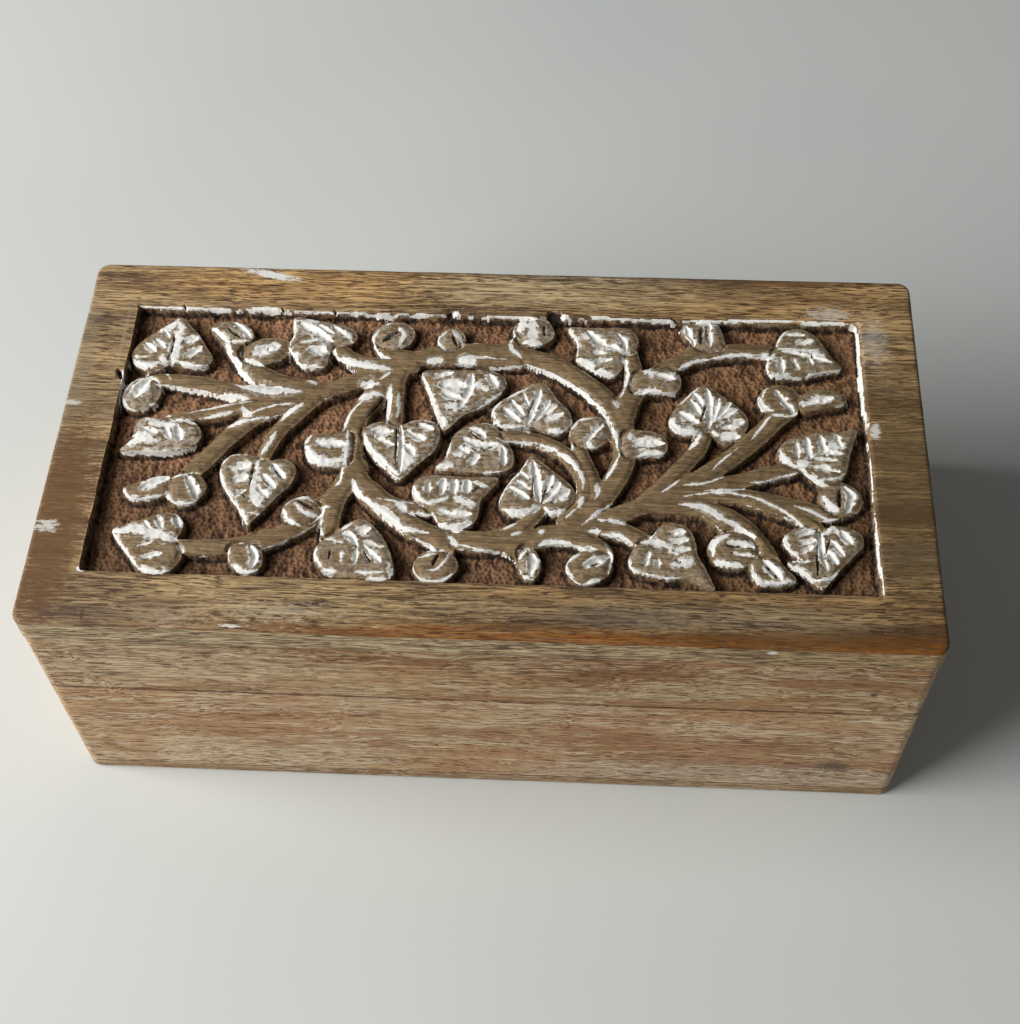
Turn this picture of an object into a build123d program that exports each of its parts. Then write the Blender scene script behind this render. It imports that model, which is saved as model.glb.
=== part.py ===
from build123d import *
import math
import os

# Keepsake box with a carved, hinged lid. Millimetres, +Z up. The origin is at the centre of the
# underside; the front is towards -Y and the hinges are at +Y.

# ---------------------------------------------------------------- box
box_length = 203.0            # along X, over the lid panel
box_width = 104.5             # along Y, over the lid panel
base_height = 44.1            # from the table to the rim of the base
seam_gap = 0.3                # daylight between the rims when the lid is shut
lid_rail_height = 22.6
lid_panel_thickness = 7.6
panel_overhang = 0.3          # the lid panel past the boards, on every side
wall_thickness = 9.5
bottom_thickness = 4.0
corner_radius = 3.0           # upright corners
panel_edge_ease = 0.7         # top edge of the lid panel
bottom_edge_ease = 0.8        # lower edge of the bottom board
eased_edge = 0.35             # all other outer edges

# ---------------------------------------------------------------- linings
felt_thickness = 1.0
felt_gap = 0.3                # between the felt's edge and the boards

# ---------------------------------------------------------------- hinges
lid_opening = 105.0           # degrees, where the bevelled back rims meet
hinge_inset = 2.2             # from the back face to the pin's centre
hinge_end_distance = 41.2     # from the end of the back board to the middle of a hinge
hinge_length = 25.0
knuckle_count = 3
knuckle_radius = 1.8
knuckle_gap = 0.15            # between neighbouring knuckles
pin_radius = 0.8
pin_clearance = 0.05
leaf_width = 6.2              # from the pin's centre to the free edge of the leaf
leaf_thickness = 0.9
leaf_fit = 0.1                # round a leaf in its mortise
barrel_clearance = 0.25       # round the knuckles in their groove

# ---------------------------------------------------------------- screws
screw_length = 8.0
screw_radius = 0.8
screw_head_radius = 1.55
screw_edge_distance = 5.0     # from the end of a leaf to the screw
screw_clearance = 0.05
screw_flats = 12
screw_slot_width = 0.5
screw_slot_depth = 0.4
screw_first_turn = 35.0       # degrees, the slot of the first screw
screw_next_turn = 50.0        # degrees, from one screw's slot to the next

# ---------------------------------------------------------------- carving
border_left = 12.5
border_right = 13.5
border_front = 13.75
border_back = 13.75
recess_depth = 3.0
recess_corner_radius = 1.0
relief_drop = 0.4             # from the top of the panel to the top of the leaves
relief_margin = 0.8           # least gap between the leaves and the wall of the recess
drawn_length = 177.0          # size of the field that the pattern below is drawn on
drawn_width = 77.0
vein_depth = 0.9
midrib_width = 1.3
side_vein_width = 1.0
leaf_cuts = 20                # chisel cuts round one leaf
leaf_lobe = 0.35              # how far the lobes reach back past the stem, in leaf lengths
leaf_notch = 0.08             # depth of the notch between the lobes
leaf_fullness = 0.3           # how much wider the leaf is near the stem
bud_cuts = 12                 # chisel cuts round one bud

# ---------------------------------------------------------------- derived
rim_length = box_length - 2 * panel_overhang
rim_width = box_width - 2 * panel_overhang
rim_corner = corner_radius - panel_overhang
inner_length = rim_length - 2 * wall_thickness
inner_width = rim_width - 2 * wall_thickness
lid_rim = base_height + seam_gap
panel_underside = lid_rim + lid_rail_height
panel_top = panel_underside + lid_panel_thickness
hinge_y = rim_width / 2 - hinge_inset
hinge_z = base_height + seam_gap / 2
bevel_drop = hinge_inset * math.tan(math.radians(lid_opening / 2))
recess_length = box_length - border_left - border_right
recess_width = box_width - border_front - border_back
recess_x = (border_left - border_right) / 2
recess_y = (border_front - border_back) / 2
pattern_x = recess_length / drawn_length
pattern_y = recess_width / drawn_width
pattern_size = min(pattern_x, pattern_y)
hinge_x = rim_length / 2 - hinge_end_distance
hinge_centres = {"left": -hinge_x, "right": hinge_x}

# ---------------------------------------------------------------- pattern
# Places are drawn from the middle of the field. A leaf is its stem end, its tip and its width.
leaves = [
    ((-79.0, 20.5), (-78.0, 35.2), 20.0),
    ((-68.5, -0.5), (-85.5, -5.5), 11.0),
    ((-38.5, 26.0), (-50.0, 36.0), 15.0),
    ((-67.5, -30.0), (-83.5, -27.5), 15.5),
    ((-52.5, -6.3), (-53.4, -24.3), 17.0),
    ((-32.5, -26.5), (-19.5, -37.5), 16.0),
    ((-13.5, -18.5), (2.5, -10.0), 15.0),
    ((-21.0, 4.8), (-20.0, -10.0), 18.0),
    ((-6.0, 21.0), (-10.5, 3.7), 20.0),
    ((8.3, 4.8), (11.0, 18.0), 19.0),
    ((32.0, 27.0), (18.0, 36.0), 16.0),
    ((13.0, -17.5), (10.0, -3.5), 17.0),
    ((66.5, 28.5), (83.3, 25.2), 15.0),
    ((2.0, 1.0), (-11.5, -8.0), 15.0),
    ((36.5, -25.0), (51.0, -37.5), 15.0),
    ((50.5, 5.0), (51.0, 19.0), 18.0),
    ((71.5, -4.5), (85.5, 6.0), 15.0),
    ((75.5, -21.0), (74.0, -36.0), 17.0),
]

# A vine is its width and an odd number of places that it runs through, one arc for every three.
vines = [
    (4.6, [(-48, 12), (-38, 15), (-28, 20), (-15, 26), (0, 28), (12, 25.5), (22, 19), (29, 11),
           (32, 2), (31, -6), (24, -19)]),
    (4.6, [(48, -12), (38, -15), (28, -20), (15, -25), (0, -27), (-12, -26), (-22, -19),
           (-29, -12), (-32, -3), (-31.5, 6), (-26, 18)]),
    (4.0, [(-46, 12), (-62, 13), (-80, 15.5)]),
    (3.6, [(-48, 12), (-60, 8.5), (-70, 1)]),
    (3.6, [(-50, 10), (-60, 1), (-68, -11)]),
    (3.6, [(-46, 13), (-47.5, 4), (-52, -8)]),
    (4.6, [(-42, 13.5), (-58, 21), (-67, 33)]),
    (3.6, [(-22, 22), (-31, 22), (-38, 27)]),
    (4.0, [(-23, 20), (-23.5, 11), (-22, 3)]),
    (4.0, [(-30, -10), (-46, -26), (-69, -30)]),
    (3.6, [(-31, -11), (-34, -20), (-33, -28)]),
    (3.6, [(-27, -15), (-19, -19), (-12, -18)]),
    (4.0, [(30, 6), (34.5, 18), (31.5, 28)]),
    (4.0, [(31, 10), (46, 26.5), (68, 28.3)]),
    (4.0, [(36, -15), (45, -6), (50.5, 7)]),
    (3.6, [(42, -13), (57, -2.5), (68, 12)]),
    (3.6, [(44, -13), (58, -9.3), (73, -3.5)]),
    (4.0, [(44, -13), (62, -12.6), (79, -15)]),
    (3.6, [(66, -13), (73, -17), (75.5, -23)]),
    (4.0, [(40, -14), (56, -19), (64, -31)]),
    (3.6, [(24, -21.5), (31, -23.5), (38, -26)]),
    (3.6, [(15, -24.5), (22, -26), (25, -31)]),
    (4.0, [(0.5, 0.7), (15.5, -0.5), (23, -20)]),
    (3.2, [(22, -14), (23.5, -5), (24, 2)]),
    (3.2, [(13, -15), (9.5, -22), (4, -27)]),
    (3.2, [(3, 27), (5, 31), (9, 34)]),
    (3.2, [(-25, 20), (-29, 26), (-26, 31)]),
    (3.6, [(-30, 0), (-35, -2), (-40, -3)]),
    (3.6, [(31, 1), (35, 1.5), (39, 1)]),
    (3.2, [(-10, 26), (-10.7, 29), (-10.5, 32)]),
    (3.2, [(10, -25), (10.7, -29), (10.5, -33)]),
    (3.2, [(-7, -26), (-8.5, -30), (-9.5, -34)]),
    (3.6, [(33, 18), (38, 18.7), (42, 19)]),
    (3.2, [(-35, -17), (-38, -19), (-41, -20)]),
    (3.6, [(-49, -27), (-51, -31), (-51.5, -35)]),
    (3.6, [(46, 25), (49, 30), (50.5, 35)]),
    (3.2, [(52, -16), (55, -22), (57, -28)]),
    (3.2, [(-6.5, 1), (-9, 5), (-9.5, 10)]),
    (3.2, [(9.5, 1), (8.8, 4), (8.5, 7)]),
]

# A bud is its middle, its two radii and the turn of its long one.
buds = [
    ((-83.5, 12.0), 4.7, 4.7, 0),
    ((-25.0, 32.0), 4.7, 4.7, 0),
    ((-10.5, 31.0), 3.6, 3.3, 0),
    ((9.3, 33.5), 4.5, 4.0, 0),
    ((50.5, 34.0), 5.0, 3.9, 0),
    ((39.5, 19.0), 5.4, 3.8, 0),
    ((37.5, 1.0), 4.8, 3.5, 0),
    ((-38.0, -3.0), 4.8, 4.2, 0),
    ((-51.5, -34.0), 4.5, 3.9, 0),
    ((-41.5, -20.0), 4.3, 3.5, 20),
    ((-10.0, -33.5), 5.0, 4.4, 0),
    ((10.5, -33.0), 4.5, 2.6, 90),
    ((24.0, -33.0), 5.0, 4.6, 0),
    ((81.0, -13.0), 4.8, 4.8, 0),
    ((56.5, -27.5), 5.2, 5.0, 0),
    ((64.5, -33.0), 4.8, 3.2, -35),
    ((24.0, 3.5), 4.8, 4.6, 0),
    ((-56.5, 25.5), 6.3, 4.0, 15),
    ((-67.5, -15.0), 5.2, 5.0, 0),
    ((-76.0, -15.5), 7.2, 3.2, 0),
    ((68.5, 15.0), 5.2, 5.0, 0),
    ((77.0, 16.5), 7.2, 3.2, 5),
    ((-66.0, 33.0), 5.0, 3.4, 0),
]

# A gouge is its two ends, cut into a bud.
gouges = [
    ((-59.5, 24.5), (-53.0, 28.0)),
    ((-69.5, -11.5), (-66.0, -18.0)),
    ((-79.5, -15.5), (-73.0, -13.8)),
    ((67.5, 18.5), (70.5, 11.5)),
    ((73.5, 15.5), (80.5, 17.2)),
    ((-85.0, 15.0), (-82.5, 9.5)),
    ((-27.5, 31.0), (-22.5, 33.5)),
    ((-11.5, -36.0), (-8.0, -31.5)),
    ((22.0, -35.0), (26.0, -31.0)),
    ((54.5, -30.0), (55.5, -24.8)),
    ((57.5, -30.5), (58.8, -25.2)),
    ((79.0, -15.5), (83.0, -10.5)),
    ((62.0, -31.5), (67.5, -35.0)),
]


# ---------------------------------------------------------------- boards
def rounded_block(length, width, height, radius):
    """Upright block with rounded corners, standing on Z = 0."""
    return extrude(RectangleRounded(length, width, radius), height)


def outer_edges(block, top):
    """Edges round the highest or the lowest face of a block."""
    face = block.faces().sort_by(Axis.Z)[-1 if top else 0]
    return face.outer_wire().edges()


def board_ring(height):
    """The four boards of the base or the lid as one ring, standing on Z = 0."""
    ring = rounded_block(rim_length, rim_width, height, rim_corner)
    hollow = extrude(Rectangle(inner_length, inner_width), height)
    return ring - hollow


def mitred_boards(ring):
    """Cuts a ring of boards apart at its mitres."""
    reach = box_length + box_width
    out_x = rim_length / 2 + wall_thickness
    out_y = rim_width / 2 + wall_thickness
    in_x = rim_length / 2 - 2 * wall_thickness
    in_y = rim_width / 2 - 2 * wall_thickness
    front = [(-out_x, -out_y), (out_x, -out_y), (in_x, -in_y), (-in_x, -in_y)]
    left = [(-out_x, -out_y), (-in_x, -in_y), (-in_x, in_y), (-out_x, out_y)]
    outlines = {
        "front": front,
        "back": [(x, -y) for x, y in front],
        "left": left,
        "right": [(-x, y) for x, y in left],
    }
    boards = {}
    for side, corners in outlines.items():
        wedge = extrude(make_face(Polyline(*corners, close=True)), reach, both=True)
        boards[side] = ring & wedge
    return boards


def back_bevel(rim, out_of_rim):
    """Wedge that bevels the back edge of a rim, so that the lid can lean back."""
    reach = rim_width
    slope = bevel_drop / hinge_inset
    profile = Polyline(
        (hinge_y, rim),
        (hinge_y, rim + out_of_rim * reach),
        (hinge_y + reach, rim + out_of_rim * reach),
        (hinge_y + reach, rim - out_of_rim * slope * reach),
        close=True,
    )
    section = Plane.YZ * make_face(profile)
    return extrude(section, box_length, both=True)


# ---------------------------------------------------------------- hinges
def knuckle_span(index):
    """Low and high end of a knuckle along the pin."""
    pitch = hinge_length / knuckle_count
    low = -hinge_length / 2 + index * pitch
    return low + knuckle_gap / 2, low + pitch - knuckle_gap / 2


def along_pin(radius, low, high):
    """Round bar on the pin's axis."""
    return Pos((low + high) / 2, 0, 0) * Rot(0, 90, 0) * Cylinder(radius, high - low)


def screw_places():
    """Places of the screws of one leaf, across and along the pin."""
    across = -(knuckle_radius + leaf_width) / 2
    along = hinge_length / 2 - screw_edge_distance
    return [(-along, across), (along, across)]


def leaf_plate(low, high, near, far):
    """Flat stretch of a leaf under the hinge line, from near to far of the pin."""
    plate = Box(high - low, far - near, leaf_thickness, align=(Align.MIN, Align.MAX, Align.MAX))
    return Pos(low, -near, -seam_gap / 2) * plate


def base_side_leaf(knuckles):
    """A leaf that lies below the hinge line, with its pin on the X axis."""
    half = hinge_length / 2
    leaf = leaf_plate(-half, half, knuckle_radius + knuckle_gap, leaf_width)
    for index in knuckles:
        low, high = knuckle_span(index)
        leaf += leaf_plate(low, high, 0, leaf_width)
        leaf += along_pin(knuckle_radius, low, high)
    leaf -= along_pin(pin_radius + pin_clearance, -hinge_length, hinge_length)
    for x, y in screw_places():
        leaf -= Pos(x, y, -seam_gap / 2) * screw_body(screw_clearance)
    return leaf


def hinge_leaf(on_lid):
    """Base leaf with the odd knuckles, or lid leaf, its mirror image, with the even ones."""
    if on_lid:
        return mirror(base_side_leaf(range(1, knuckle_count, 2)), about=Plane.XY)
    return base_side_leaf(range(0, knuckle_count, 2))


def hinge_pin():
    """Plain pin, as long as the hinge."""
    return along_pin(pin_radius, -hinge_length / 2, hinge_length / 2)


def screw_section(radius, height):
    """Cross-section of a screw, drawn with flats because the screws are small and many."""
    return Pos(0, 0, height) * RegularPolygon(radius, screw_flats)


def screw_body(clearance):
    """Countersunk screw hanging below Z = 0, grown by a clearance all round."""
    shank_radius = screw_radius + clearance
    cone = screw_head_radius - screw_radius
    mouth = screw_section(screw_head_radius + clearance, 0)
    neck = screw_section(shank_radius, -cone)
    shank = extrude(neck, -(screw_length + clearance - cone))
    return loft([mouth, neck], ruled=True) + shank


def wood_screw(turn):
    """Countersunk screw with its slot turned, its head level with Z = 0."""
    slot = Box(2 * screw_head_radius + 1, screw_slot_width, 2 * screw_slot_depth)
    return screw_body(0) - Rot(0, 0, turn) * slot


def hinge_screws(on_lid):
    """All screws of one side of both hinges."""
    screws = []
    for middle in hinge_centres.values():
        for x, y in screw_places():
            turn = screw_first_turn + screw_next_turn * len(screws)
            screw = Pos(x, y, -seam_gap / 2) * wood_screw(turn)
            if on_lid:
                screw = mirror(screw, about=Plane.XY)
            screws.append(Pos(middle, hinge_y, hinge_z) * screw)
    return screws


def hinge_cutters(on_lid):
    """Leaf mortises, barrel grooves and screw holes for one rim."""
    length = hinge_length + 2 * leaf_fit
    groove_half = hinge_length / 2 + barrel_clearance
    depth = seam_gap / 2 + leaf_thickness
    mortise = Box(length, leaf_width + leaf_fit, depth, align=(Align.CENTER, Align.MAX, Align.MAX))
    groove = along_pin(knuckle_radius + barrel_clearance, -groove_half, groove_half)
    hole = extrude(screw_section(screw_radius + screw_clearance, 0), -(screw_length + screw_clearance))
    tools = [mortise, groove] + [Pos(x, y, -seam_gap / 2) * hole for x, y in screw_places()]
    if on_lid:
        tools = [mirror(tool, about=Plane.XY) for tool in tools]
    return [Pos(middle, hinge_y, hinge_z) * tool for middle in hinge_centres.values() for tool in tools]


# ---------------------------------------------------------------- carving
def drawn(point):
    """A place of the pattern on the field."""
    return (recess_x + point[0] * pattern_x, recess_y + point[1] * pattern_y)


def on_leaf(stem, tip, width, along, across):
    """A place on a leaf: along in leaf lengths from the stem, across in half widths."""
    start = Vector(*drawn(stem))
    run = Vector(*drawn(tip)) - start
    side = Vector(-run.Y, run.X) * (width * pattern_size / 2 / run.length)
    return start + run * along + side * across


def leaf_half(turn):
    """A place on a leaf's outline: turn runs from 0 at the stem notch to pi at the tip."""
    near_stem = (1 + math.cos(turn)) / 2
    along = 1 - near_stem - leaf_lobe * math.sin(turn) * near_stem + leaf_notch * near_stem ** 8
    across = math.sin(turn) * (1 + leaf_fullness * math.cos(turn))
    return along, across


def leaf_face(stem, tip, width):
    """Heart-shaped leaf: a notch at the stem, two lobes and a drawn-out tip."""
    corners = []
    for cut in range(leaf_cuts):
        turn = 2 * math.pi * cut / leaf_cuts
        along, across = leaf_half(min(turn, 2 * math.pi - turn))
        side = 1 if turn < math.pi else -1
        corners.append(on_leaf(stem, tip, width, along, side * across))
    return make_face(Polyline(*corners, close=True))


def gouge_face(start, end, width):
    """Pointed mouth of one stroke of a gouge."""
    start = Vector(*start)
    run = Vector(*end) - start
    side = Vector(-run.Y, run.X) * (width / 2 / run.length)
    middle = start + run / 2
    return make_face(Polyline(start, middle + side, start + run, middle - side, close=True))


def leaf_veins(stem, tip, width):
    """Midrib and side veins of one leaf."""
    strokes = [((0.10, 0.0), (0.90, 0.0), midrib_width)]
    for side in (1, -1):
        strokes.append(((0.16, 0.20 * side), (0.24, 0.78 * side), side_vein_width))
        strokes.append(((0.38, 0.18 * side), (0.54, 0.62 * side), side_vein_width))
    faces = []
    for start, end, stroke_width in strokes:
        ends = [on_leaf(stem, tip, width, *place) for place in (start, end)]
        faces.append(gouge_face(*ends, stroke_width * pattern_size))
    return faces


def vine_face(width, places):
    """Ribbon of one width that follows arcs through the places."""
    points = [drawn(place) for place in places]
    arcs = [ThreePointArc(*points[first:first + 3]) for first in range(0, len(points) - 2, 2)]
    return trace(arcs, line_width=width * pattern_size)


def bud_face(middle, long_radius, short_radius, turn):
    """Round or oval bud, cut with a straight chisel."""
    corners = []
    for cut in range(bud_cuts):
        angle = 2 * math.pi * cut / bud_cuts
        corners.append((long_radius * math.cos(angle), short_radius * math.sin(angle)))
    face = make_face(Polyline(*corners, close=True))
    return Pos(*drawn(middle)) * Rot(0, 0, turn) * scale(face, pattern_size)


def relief_sketch():
    """Everything that stands up in the sunk field, as one flat shape."""
    shapes = [leaf_face(*leaf) for leaf in leaves]
    shapes += [vine_face(*vine) for vine in vines]
    shapes += [bud_face(*bud) for bud in buds]
    relief = Sketch() + shapes
    field = Rectangle(recess_length - 2 * relief_margin, recess_width - 2 * relief_margin)
    return relief & Pos(recess_x, recess_y) * field


def vein_cutter():
    """All gouge strokes, ready to cut into the top of the relief."""
    faces = []
    for leaf in leaves:
        faces += leaf_veins(*leaf)
    for start, end in gouges:
        faces.append(gouge_face(drawn(start), drawn(end), midrib_width * pattern_size))
    top = panel_top - relief_drop
    return [extrude(Pos(0, 0, top - vein_depth) * face, vein_depth + relief_drop) for face in faces]


def carved_panel():
    """Lid panel with its sunk field, the vines and leaves standing in it and their veins."""
    panel = rounded_block(box_length, box_width, lid_panel_thickness, corner_radius)
    panel = chamfer(outer_edges(panel, top=True), panel_edge_ease)
    panel = chamfer(outer_edges(panel, top=False), eased_edge)
    panel = Pos(0, 0, panel_underside) * panel
    field = Pos(recess_x, recess_y) * RectangleRounded(recess_length, recess_width, recess_corner_radius)
    ground = field - relief_sketch()
    floor = panel_top - recess_depth
    panel -= extrude(Pos(0, 0, panel_top - relief_drop) * field, 2 * relief_drop)
    panel -= extrude(Pos(0, 0, floor) * ground, recess_depth)
    return panel - vein_cutter()


# ---------------------------------------------------------------- sub-parts
def base_boards():
    """The four mitred boards of the base, with the hinge seats in the back one."""
    height = base_height - bottom_thickness
    ring = board_ring(height)
    ring = chamfer(outer_edges(ring, top=True), eased_edge)
    ring = Pos(0, 0, bottom_thickness) * ring
    ring -= back_bevel(base_height, 1)
    boards = mitred_boards(ring)
    boards["back"] -= hinge_cutters(on_lid=False)
    return boards


def lid_rails():
    """The four mitred rails of the lid, with the hinge seats in the back one."""
    ring = board_ring(lid_rail_height)
    ring = chamfer(outer_edges(ring, top=False), eased_edge)
    ring = Pos(0, 0, lid_rim) * ring
    ring -= back_bevel(lid_rim, -1)
    rails = mitred_boards(ring)
    rails["back"] -= hinge_cutters(on_lid=True)
    return rails


def bottom_board():
    """Thin board glued under the base."""
    board = rounded_block(rim_length, rim_width, bottom_thickness, rim_corner)
    board = chamfer(outer_edges(board, top=False), bottom_edge_ease)
    return chamfer(outer_edges(board, top=True), eased_edge)


def felt_sheet(underside):
    """Lining that fills the inside of the boards from edge to edge."""
    sheet = Rectangle(inner_length - 2 * felt_gap, inner_width - 2 * felt_gap)
    return extrude(Pos(0, 0, underside) * sheet, felt_thickness)


def all_nodes():
    """Every piece of the box by its node name."""
    nodes = {"lid_panel": carved_panel(), "base_bottom_board": bottom_board()}
    for side, board in base_boards().items():
        nodes[f"base_{side}_board"] = board
    for side, rail in lid_rails().items():
        nodes[f"lid_{side}_rail"] = rail
    nodes["base_lining"] = felt_sheet(bottom_thickness)
    nodes["lid_lining"] = felt_sheet(panel_underside - felt_thickness)
    for side, middle in hinge_centres.items():
        place = Pos(middle, hinge_y, hinge_z)
        nodes[f"hinge_{side}_lid_leaf"] = place * hinge_leaf(on_lid=True)
        nodes[f"hinge_{side}_base_leaf"] = place * hinge_leaf(on_lid=False)
        nodes[f"hinge_{side}_pin"] = place * hinge_pin()
    nodes["lid_hinge_screws"] = Compound(children=hinge_screws(on_lid=True))
    nodes["base_hinge_screws"] = Compound(children=hinge_screws(on_lid=False))
    return nodes


os.makedirs("parts", exist_ok=True)
for node, shape in all_nodes().items():
    export_step(shape, f"parts/{node}.step")
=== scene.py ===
"""Keepsake box with a carved, hinged lid: its finishes, its carving and its studio.

Lengths in the carving classes are millimetres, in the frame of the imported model: +X right along
the box, +Y towards the hinges, +Z up. Meshes are scaled to metres where they are made.
"""

import logging
import math
from collections.abc import Callable, Sequence
from dataclasses import dataclass, field
from enum import Enum

import bmesh
import bpy
import numpy as np
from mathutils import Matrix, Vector


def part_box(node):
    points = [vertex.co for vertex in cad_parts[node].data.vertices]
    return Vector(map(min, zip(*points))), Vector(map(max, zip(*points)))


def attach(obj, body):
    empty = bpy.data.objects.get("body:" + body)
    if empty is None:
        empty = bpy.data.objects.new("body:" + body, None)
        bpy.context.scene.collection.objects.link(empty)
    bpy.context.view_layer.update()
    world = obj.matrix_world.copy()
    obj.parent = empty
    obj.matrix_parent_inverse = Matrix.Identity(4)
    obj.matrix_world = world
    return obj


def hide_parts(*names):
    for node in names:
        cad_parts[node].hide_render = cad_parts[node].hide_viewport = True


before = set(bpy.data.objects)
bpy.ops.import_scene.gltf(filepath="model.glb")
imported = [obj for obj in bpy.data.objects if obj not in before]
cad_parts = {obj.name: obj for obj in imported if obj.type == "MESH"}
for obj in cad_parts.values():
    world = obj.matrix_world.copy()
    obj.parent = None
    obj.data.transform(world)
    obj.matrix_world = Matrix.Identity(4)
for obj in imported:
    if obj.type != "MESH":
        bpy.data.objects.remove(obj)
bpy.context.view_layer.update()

MM = 0.001
PER_METRE = 1000.0

log = logging.getLogger("keepsake_box")

Place = tuple[float, float]
Shade = tuple[float, float, float, float]
Socket = bpy.types.NodeSocket


# ------------------------------------------------------------------------------- small helpers
def shade(red: int, green: int, blue: int) -> Shade:
    """Turn a colour written as display values from 0 to 255 into a linear one.

    Args:
        red: Red, 0 to 255.
        green: Green, 0 to 255.
        blue: Blue, 0 to 255.

    Returns:
        Linear red, green, blue and an alpha of 1.
    """
    linear = []
    for value in (red / 255, green / 255, blue / 255):
        linear.append(value / 12.92 if value <= 0.04045 else ((value + 0.055) / 1.055) ** 2.4)
    return (linear[0], linear[1], linear[2], 1.0)


def eased(value: np.ndarray, low: float, high: float) -> np.ndarray:
    """Smooth step from 0 at low to 1 at high.

    Args:
        value: Values to map.
        low: Where the result is 0.
        high: Where the result is 1.

    Returns:
        The mapped values.
    """
    part = np.clip((value - low) / (high - low), 0.0, 1.0)
    return part * part * (3 - 2 * part)


def unevenness(x: np.ndarray, y: np.ndarray, size: float, seed: int) -> np.ndarray:
    """Smooth seeded unevenness, as a hand and its tools leave it.

    Args:
        x: Places along X.
        y: Places along Y.
        size: Width of one bump, in the unit of the places.
        seed: Which pattern of bumps.

    Returns:
        Values from -1 to 1.
    """
    lattice = np.random.default_rng(seed).uniform(-1, 1, (97, 101))
    u, v = x / size + 1000, y / size + 1000
    column, row = np.floor(u).astype(int), np.floor(v).astype(int)
    across, up = eased(u - column, 0, 1), eased(v - row, 0, 1)
    total = np.zeros_like(u)
    for step_x, weight_x in ((0, 1 - across), (1, across)):
        for step_y, weight_y in ((0, 1 - up), (1, up)):
            corner = lattice[(row + step_y) % 97, (column + step_x) % 101]
            total += weight_x * weight_y * corner
    return total


def smooth_line(places: Sequence[Place], step: float = 0.7, closed: bool = False) -> np.ndarray:
    """Points on a smooth curve that runs through all the places.

    Args:
        places: The places, two or more.
        step: About how far apart the points lie.
        closed: Whether the curve comes back to its first place.

    Returns:
        Points, and in a third column how far along the curve each lies, from 0 to 1.
    """
    knots = np.array(places, float)
    if closed:
        ends = np.vstack([knots[-1], knots, knots[0], knots[1]])
    else:
        ends = np.vstack([2 * knots[0] - knots[1], knots, 2 * knots[-1] - knots[-2]])
    points = []
    for before, start, end, after in zip(ends, ends[1:], ends[2:], ends[3:]):
        count = max(2, round(float(np.linalg.norm(end - start)) / step))
        for t in np.arange(count) / count:
            points.append(
                0.5 * (2 * start + (end - before) * t
                       + (2 * before - 5 * start + 4 * end - after) * t**2
                       + (3 * start - before - 3 * end + after) * t**3)
            )
    line = np.array(points + [ends[-2]])
    travelled = np.concatenate([[0], np.cumsum(np.linalg.norm(np.diff(line, axis=0), axis=1))])
    return np.column_stack([line, travelled / travelled[-1]])


# ------------------------------------------------------------------------------- carved shapes
@dataclass(frozen=True)
class Stroke:
    """One stroke of a gouge or a brush: pointed at both ends, widest in the middle.

    Attributes:
        width: Width at the middle.
        places: Where it runs.
    """

    width: float
    places: tuple[Place, ...]

    def line(self) -> np.ndarray:
        """Points along the stroke."""
        return smooth_line(self.places, 0.5)


def stroke(width: float, *places: Place) -> Stroke:
    """A stroke of one width through its places."""
    return Stroke(width, places)


@dataclass(frozen=True)
class Leaf:
    """Leaf, or other flat shape, cut round its edge.

    Attributes:
        edge: Places round its edge.
        wash: How much thin whitewash lies on the top, 0 to 1.
        sunk: Depth of its top under the panel's top.
    """

    edge: tuple[Place, ...]
    wash: float
    sunk: float = 0.35

    def outline(self) -> np.ndarray:
        """Points round the edge of the leaf."""
        return smooth_line(self.edge, 0.8, closed=True)[:-1, :2]


@dataclass(frozen=True)
class Vine:
    """Vine that runs through its places and tapers from one end to the other.

    Attributes:
        places: Where its middle runs.
        start_width: Width at the first place.
        end_width: Width at the last place.
    """

    places: tuple[Place, ...]
    start_width: float = 4.0
    end_width: float = 4.0


@dataclass(frozen=True)
class Bud:
    """Round or oval bud, curl or stub.

    Attributes:
        middle: Its middle.
        long: Long half size.
        short: Short half size.
        turn: Direction of the long one, in degrees from X.
        square: 2 is an oval, and more makes it squarer.
        wash: How much whitewash lies on the top, 0 to 1.
    """

    middle: Place
    long: float
    short: float
    turn: float = 0.0
    square: float = 2.0
    wash: float = 0.35


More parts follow.
